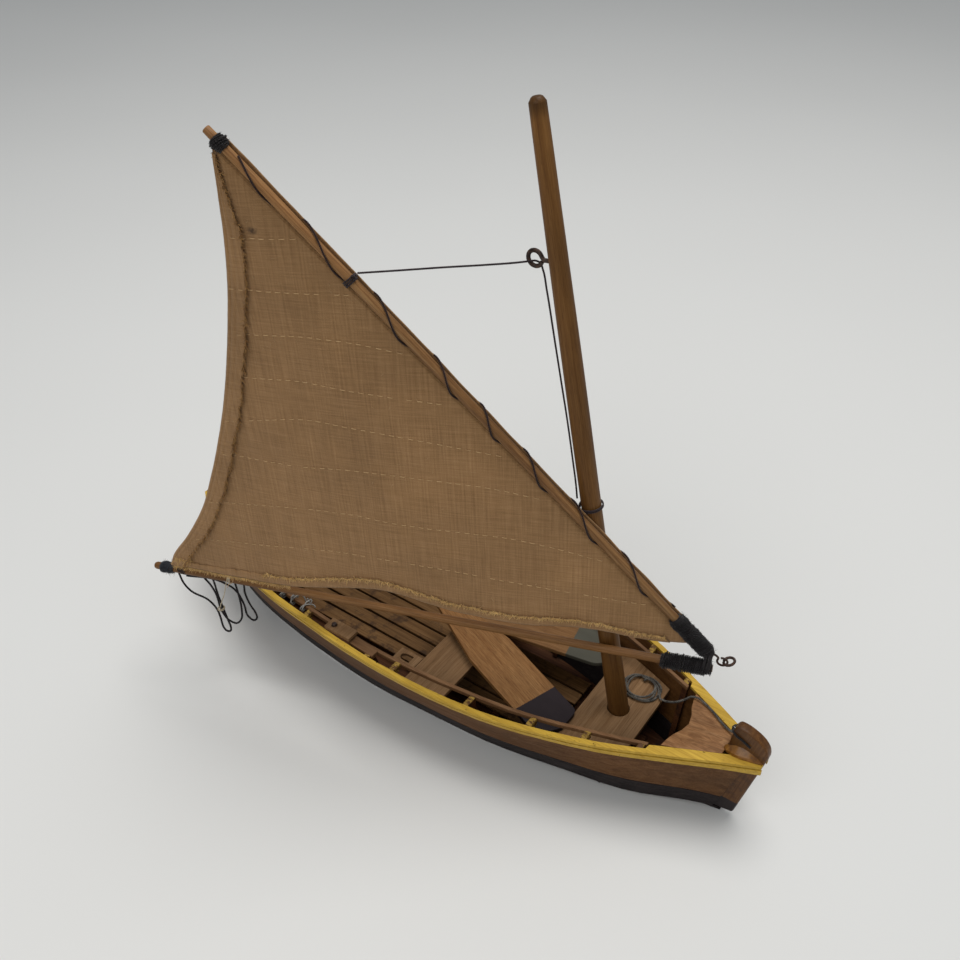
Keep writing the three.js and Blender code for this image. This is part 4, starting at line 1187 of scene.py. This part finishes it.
def make_sail():
    rows, columns, hem_columns = 150, 130, 14
    v = np.linspace(0.0, 1.018, rows)[:, None] * np.ones((1, columns))
    u = (np.linspace(0, 1, columns) ** 0.96)[None, :] * np.ones((rows, 1))
    body = sail_surface(u, v)
    # The luff goes up behind the yard and shows above it.
    luff = body[:, :1]
    share = np.linspace(1, 0, hem_columns)[None, :]
    flare = np.array([noise.noise(Vector((r * 0.13, 2.2, 5.0))) for r in range(rows)])[:, None]
    climb = LUFF_CLIMB * share * (1 + 0.07 * flare)
    behind = LUFF_BEHIND * np.clip(share * 2.6, 0, 1) ** 0.8 * np.ones((rows, 1))
    hem = luff + np.stack([-climb * normal_a, -climb * normal_z, behind], axis=-1)
    sail = cloth_piece("sail_cloth", np.concatenate([hem[:, :-1], body], axis=1), cloth)
    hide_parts("sail")
    return sail


def make_leech_hem():
    """The hem along the leech, and its raw inner edge."""
    rows, columns = 360, 18
    v = np.linspace(0.0, 1.01, rows)[:, None] * np.ones((1, columns))
    luff_a, _, leech_z = sail_edges(v)
    span = leech_at(leech_z) - luff_a
    ragged = np.array([
        0.9 * noise.noise(Vector((r * 0.09, 0.4, 2.0))) + 1.1 * noise.noise(Vector((r * 0.47, 3.4, 2.0)))
        for r in range(rows)
    ])[:, None]
    narrow = np.clip((1.02 - v) * 6, 0.2, 1)
    inner = (LEECH_HEM + ragged) * narrow
    share = np.linspace(0, 1, columns)[None, :] * np.ones((rows, 1))
    u = 1 - inner * (1 - share) / np.maximum(span, inner)
    lift = 0.45 + 0.35 * np.sin(np.pi * share) ** 0.7 + 0.5 * (1 - share) ** 5
    for seam, depth, half in ((0.82, 0.4, 0.045), (0.5, 0.25, 0.05)):
        lift = lift - depth * np.exp(-((share - seam) / half) ** 2)
    lift = lift + 0.22 * ragged * (1 - share)
    places = sail_surface(u, v, lift)
    places[:, -1, 2] -= 0.42
    places[:, -1, 0] += 0.35
    return cloth_piece("sail_leech_hem", places, hem_cloth), places[:, 0]


def make_foot_hem():
    """The hem along the foot, and its upper and lower edges."""
    rows, columns = 9, 300
    u = np.linspace(0.03, 0.995, columns)[None, :] * np.ones((rows, 1))
    share = np.linspace(0, 1, rows)[:, None] * np.ones((1, columns))
    width = np.interp(u[0], [0, 0.1, 0.5, 0.85, 1], [3.2, 4.6, 5.4, 5.0, 3.6])
    ragged = np.array([1.1 * noise.noise(Vector((c * 0.33, 8.8, 1.0))) for c in range(columns)])
    base = sail_surface(u, np.zeros_like(u))
    rise = sail_surface(u, np.full_like(u, 0.06)) - base
    size = np.linalg.norm(rise[..., :2], axis=-1, keepdims=True)
    climb = ((width + ragged)[None, :] * (1 - share))[..., None]
    places = base + rise / np.maximum(size, 1e-6) * climb
    places[..., 2] += 0.45 + 0.25 * np.sin(np.pi * share)
    places[-1, :, 1] -= 0.3
    places[-1, :, 2] -= 0.35
    return cloth_piece("sail_foot_hem", places, foot_cloth), places[0], places[-1]


def fringe(name, edge, toward, count, length, radius, material, lift, spread):
    """Loose threads along a raw edge, in rig places."""
    t = random.uniform(0, len(edge) - 1.001, count)
    i = t.astype(int)
    f = (t - i)[:, None]
    at = edge[i] * (1 - f) + edge[i + 1] * f
    at[:, 2] += random.uniform(-0.1, lift, count)
    roots = rig_line(at)
    heads = toward[0] * AFTWARD + toward[1] * UPWARD + toward[2] * OUTWARD
    heads = heads + random.normal(size=(count, 3)) * spread
    lengths = random.uniform(length[0], length[1], count)
    return fibres(name, roots, heads, lengths, radius, material)


STITCH_PITCH = 4.1
# Distances along a stitch: it goes into the cloth at its two ends and lies on it between them.
STITCH_STEPS = (0.0, 0.35, 1.2, 2.0, 2.35)


def make_stitches():
    """Rows of running stitches over the sail's starboard face."""
    parts = []
    for row in STITCH_ROWS:
        height = through(row)
        for along in np.arange(20.0, 275.0, STITCH_PITCH):
            start = along + random.uniform(-0.25, 0.25)
            over_hem = float(leech_at(float(height(start)))) - start < LEECH_HEM + 0.6
            dash = []
            for step in STITCH_STEPS:
                found = place_to_uv(start + step, float(height(start + step)))
                if found is None:
                    break
                lift = -0.1 if step in (STITCH_STEPS[0], STITCH_STEPS[-1]) else 0.32
                if over_hem:
                    lift += 0.8
                dash.append(sail_surface(np.array(found[0]), np.array(found[1]), lift))
            if len(dash) == len(STITCH_STEPS) and random.random() > 0.05:
                parts.append(tube_parts(smooth_line(rig_line(dash), 0.35), 0.19, 5))
    return parts_object("sail_stitches", parts, stitch_thread)


def place_to_uv(a, z):
    """The sail's u and v at a place in its plane, or None off the cloth."""
    low, high = 0.0, 0.98
    for _ in range(22):
        v = (low + high) / 2
        luff_a, _, leech_z = sail_edges(v)
        u = (a - luff_a) / (float(leech_at(leech_z)) - luff_a)
        if u >= 0 and float(sail_place(min(u, 1.0), v)[1]) < z:
            low = v
        else:
            high = v
    if not 0.01 < u < 0.99 or not 0.02 < v < 0.97:
        return None
    return u, v


sail = make_sail()
leech_hem, leech_edge = make_leech_hem()
foot_hem, foot_top, foot_edge = make_foot_hem()
stitches = make_stitches()
clew_part = int(len(foot_edge) * 0.72)
leech_fringe = fringe(
    "sail_leech_fringe", leech_edge, (-0.8, -0.2, 1.1), 1500, (0.7, 1.9), 0.2, fray_partly_shaded, 0.4, 0.6,
)
foot_fringe = fringe(
    "sail_foot_fringe", foot_edge[clew_part:], (0.0, -0.8, 0.8), 650, (0.5, 1.5), 0.17, gold_fray, 0.5, 0.4,
)
foot_fuzz = fringe(
    "sail_foot_fuzz", foot_top[: clew_part + 20], (0.1, 0.3, 1.2), 1900, (0.5, 1.5), 0.2, gold_fray, 0.5, 0.8,
)
corner = sail_surface(np.linspace(0.955, 0.995, 12), np.full(12, 0.03), 0.5)
clew_fringe = fringe(
    "sail_clew_fringe", corner, (0.2, -0.2, 1.0), 45, (1.4, 4.2), 0.15, gold_fray, 0.6, 1.3,
)


def make_stray_threads():
    """Short loose threads lying on the sail, and one that hangs over the boom."""
    parts = []
    for _ in range(90):
        u, v = random.uniform(0.05, 0.95), random.uniform(0.02, 0.93)
        start = rig(*sail_surface(np.array(u), np.array(v), 0.25))
        heading = random.normal(size=3)
        heading -= OUTWARD * (heading @ OUTWARD) - OUTWARD * 0.25
        size = random.uniform(0.8, 2.6)
        s = np.linspace(0, 1, 5)[:, None]
        bend = random.normal(size=3) * 0.4 * size
        bend -= OUTWARD * (bend @ OUTWARD)
        parts.append(tube_parts(start + heading * size * 0.5 * s + bend * s * s, 0.06, 4))
    hanging = rig_line([[236.2, 64.5, 1.6], [237.0, 62.0, 2.3], [238.8, 60.6, 2.8], [240.2, 58.0, 3.0]])
    parts.append(tube_parts(smooth_line(hanging, 0.3), 0.15, 5))
    return parts_object("sail_stray_threads", parts, stitch_thread)


strays = make_stray_threads()
SAIL_PIECES = (
    sail, leech_hem, foot_hem, stitches, leech_fringe, foot_fringe, foot_fuzz, clew_fringe, strays,
)


def sail_area():
    """The cloth's area in square metres, with the strip that is turned in round the yard."""
    steps, peak_share, turn_in, laced_share = 200, 0.985, 7.2, 0.95
    share = np.linspace(0, 1, steps)
    u, v = np.meshgrid(share, peak_share * share)
    p = rig_line(sail_place(u, v))
    d1, d2 = p[1:, :-1] - p[:-1, :-1], p[:-1, 1:] - p[:-1, :-1]
    cloth_area = np.linalg.norm(np.cross(d1, d2), axis=-1).sum()
    return float(cloth_area + yard_length * laced_share * turn_in) * MM * MM


# The sail's pieces have their transforms baked into their meshes, and the cloth's area is worked out.
for piece in SAIL_PIECES:
    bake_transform(piece)
sail_area()

# ---------------------------------------------------------------- spars
mast_length = float(np.linalg.norm(MAST_HEAD - MAST_FOOT))
mast_outline = [
    [0, 4.9], [25.6, 4.92], [153.8, 4.24], [203.3, 4.1], [256.1, 3.7], [302.5, 3.15],
    [mast_length - 1.9, 3.12], [mast_length - 0.35, 2.1], [mast_length, 1.5],
]
mast = turned("mast_spar", MAST_FOOT, MAST_HEAD, mast_outline, mast_wood, 48, 0.1)
YARD_SEEN = 294.4
yard_outline = [
    [0, 1.35], [0.5, 1.7], [20, 2], [200, 2], [290, 1.75], [YARD_SEEN - 0.3, 1.65], [YARD_SEEN, 1.4],
]
yard_end = yard_tack + yard_direction * YARD_SEEN
yard = turned("yard_wood_spar", yard_tack, yard_end, yard_outline, yard_wood, 36, 0.16, 0.05)
boom_outline = [[0, 1.5], [0.6, 1.8], [3, 2], [boom_length - 1, 1.95], [boom_length, 1.5]]
boom = turned("boom_spar", boom_front, boom_end, boom_outline, boom_wood, 36, 0.14, 0.05)
belongs(mast, "rig", "mast_wood", "mast")
belongs(yard, "rig", "spar_wood", "yard")
belongs(boom, "boom", "spar_wood", "boom")


# ---------------------------------------------------------------- wire eyes
def wire(name, line, radius, node, body):
    """A round wire with small lumps of rust."""
    line, sides = smooth_line(line, 0.25), 14
    points, faces, uv = tube_parts(line, radius, sides)
    lumps = np.array([1 + 0.05 * noise.noise(Vector(p * 0.9)) for p in points])
    centre_of = np.repeat(line, sides, axis=0)
    points = centre_of + (points - centre_of) * lumps[:, None]
    belongs(new_object(name, points, faces, iron, uv), body, "iron", node)


def ring_line(centre, x, y, radius, first, last, count):
    """An arc between two angles in degrees, measured from x to y."""
    angle = np.linspace(math.radians(first), math.radians(last), count)
    return np.asarray(centre) + radius * (np.outer(np.cos(angle), x) + np.outer(np.sin(angle), y))


eye_centre = np.array([41.1, 0, 248.0])
shank = unit(mast_at(248.6) - eye_centre)
eye_loop = ring_line(eye_centre, shank, np.cross(ALONG_Y, shank), 3.05, 18, 338, 44)
eye_shank = [eye_centre + shank * d for d in (3.9, 5.0, 8.5)]
wire("halyard_eye_wire", np.concatenate([eye_loop, eye_shank]), 0.86, "halyard_eye", "rig")

link_centre = yard_tack - yard_direction * 3.0 - boom_direction * 2.8
link_loop = ring_line(link_centre, yard_direction, yard_up, 2.2, 22, 335, 36)
link_shank = [
    link_centre + yard_direction * 2.9, link_centre + yard_direction * 3.9, yard_tack + yard_direction * 3,
]
wire("tack_link_wire", np.concatenate([link_loop, link_shank]), 0.5, "tack_link", "rig")

lean = math.radians(21.4)
ring_heading = -AFTWARD * math.cos(lean) + UPWARD * math.sin(lean)
ring_arc = ring_line(link_centre + ring_heading * 3.0, ring_heading, unit(OUTWARD), 2.4, -168, 172, 40)
wire("tack_ring_wire", ring_arc, 0.62, "tack_ring", "tack_ring")


# ---------------------------------------------------------------- hull
RAIL_END = 150
PIN_TOP = 50


def wider(place):
    """The inwale's section made wider about its own middle."""
    middle = math.copysign(inwale_centre(place.x), place.y)
    return place.x, middle + (place.y - middle) * 1.25, place.z


def carried(aft_end, aft, fore_end, fore):
    """Carries a rail's ends on along the gunwale's curve, over the transom and to the stem's face."""
    def moved(place):
        if abs(place.x) < RAIL_END:
            return place
        end, extra = (fore_end, fore) if place.x > 0 else (aft_end, -aft)
        reach = math.copysign(RAIL_END, place.x)
        x = place.x + extra * ((place.x - reach) / (end - reach)) ** 2
        inward = float(gunwale_half(place.x) - gunwale_half(x))
        return x, place.y - math.copysign(inward, place.y), place.z

    return moved


def low_pin(place):
    """The pin pushed most of the way down its hole."""
    return place.x, place.y, place.z if place.z < PIN_TOP else PIN_TOP + (place.z - PIN_TOP) * 0.32


def snug(place):
    """The transom's sides and inner face brought out to the planking's ends."""
    inner = place.x > -156.6 - 0.1375 * (place.z - 8)
    return place.x + (0.7 if inner else 0), place.y * 1.035, place.z


rail = {"material": yellow, "slot": "yellow_paint", "split": 2.5}
for side_name, side in SIDES:
    remake(f"lower_plank_{side_name}", black_wood, "black_planking", 0.3)
    remake(f"upper_plank_{side_name}", upper_wood, "brown_wood", 0.3)
    remake(f"rub_strake_{side_name}", **rail, width=0.3, rough=0.14, shape=carried(-161.5, 1.5, 161.5, 6.1))
    remake(f"gunwale_cap_{side_name}", **rail, width=0.35, rough=0.16, shape=carried(-162, 3, 163.4, 3.9))
    remake(f"inwale_{side_name}", inwale_wood, "brown_wood", 0.25, shape=wider)
    remake(f"rowlock_block_{side_name}", seat_wood, "brown_wood", 0.3)
    remake(f"thwart_bracket_{side_name}", seat_wood, "pale_wood", 0.25)
    remake(f"bilge_rest_{side_name}", black_wood, "black_planking", 0.4)
    remake(f"thole_pin_{side_name}", iron, "iron", 0.2, body=f"thole_pin_{side_name}", shape=low_pin)
    for k in range(1, 5):
        remake(f"rib_{k}_{side_name}", inner_wood, "brown_wood", 0.25)
remake("keel", black_wood, "black_planking", 0.4)
remake("stem_post", stem_wood, "brown_wood", 0.9)
remake("transom", upper_wood, "brown_wood", 0.3, shape=snug)
remake("bottom_panel", inner_wood, "black_planking", 0.2)
for node in ("aft_thwart", "middle_thwart", "mast_thwart"):
    remake(node, seat_wood, "pale_wood", 0.3)
remake("mast_step", inner_wood, "brown_wood", 0.4)
remake("foredeck", deck_wood, "deck_wood", 0.35)
for k in (1, 2):
    remake(f"floor_timber_{k}", inner_wood, "brown_wood", 0.3)
for k in range(1, 6):
    remake(f"floor_slat_{k}", slat_wood, "brown_wood", 0.35)
for node, paint in (("leeboard_starboard", board_starboard), ("leeboard_port", board_port)):
    remake(node, paint, "pale_wood", 0.45, body=node, corner=2.2)

# ---------------------------------------------------------------- small pieces of the hull
HEADS = (-56, -14, 1, 42, 72, 96, 119)
FILLER_AT = -19


def side_block(name, corners, side, material, width, slot):
    """A block from corners given for the port side, turned round to face outwards on the other side."""
    corners = [(x, side * y, z) for x, y, z in corners]
    if side < 0:
        corners = corners[3::-1] + corners[:3:-1]
    block(name, corners, material, width, slot)


def head_corners(x):
    """A frame's head between the gunwale and the inwale."""
    half = 1.4
    corners = []
    for z in (sheer(x) - 4.2, sheer(x) - 0.1):
        for at, inner in ((x - half, True), (x + half, True), (x + half, False), (x - half, False)):
            y = inwale_centre(at) + 0.72 if inner else float(gunwale_half(at)) - 2.9
            corners.append((at, y, z + random.uniform(-0.15, 0.1)))
    return corners


filler_corners = [
    (x, y, sheer(FILLER_AT) - drop) for drop in (2.6, 0.2)
    for x, y in ((-27.2, 46.6), (-11.5, 48.0), (-11.5, 53.0), (-27.2, 52.2))
]
for side_name, side in SIDES:
    for k, x in enumerate(HEADS):
        side_block(f"frame_head_{k + 1}_{side_name}", head_corners(x), side, daubed, 0.3, "yellow_paint")
    side_block(f"filler_block_{side_name}", filler_corners, side, inwale_wood, 0.35, "brown_wood")


def make_stem_glue():
    """An amber wedge of glue between the stem head's starboard side and the bow rail."""
    # Distance forward, top, reach out from the middle, and where its face meets the rail.
    stations = [
        [149.4, 46.9, 3.2, 46.3], [151.4, 48.9, 4.5, 47.1], [154, 50.8, 5.4, 48], [157.5, 51.5, 5.3, 48.4],
        [161, 50.6, 4.6, 48.3], [164.5, 49.3, 3.7, 48], [167, 47.7, 2.9, 47.2],
    ]
    stem_side, underside = 2.1, 45.9
    points = []
    for x, top, reach, low in stations:
        for share in np.linspace(0, 1, 9):
            y = stem_side + (reach - stem_side) * share
            z = low + (top - low) * (1 - share) ** 1.25
            bump = 0.25 * noise.noise(Vector((x * 0.4, y * 0.5, 1.0)))
            points.append((x, -y, z + bump))
        points += [(x, -reach, underside), (x, -stem_side, underside)]
    ring = len(points) // len(stations)
    lump = new_object("stem_glue", points, tube_faces(len(stations), ring), glue)
    sharpen(lump, 60)
    belongs(lump, "hull")


make_stem_glue()
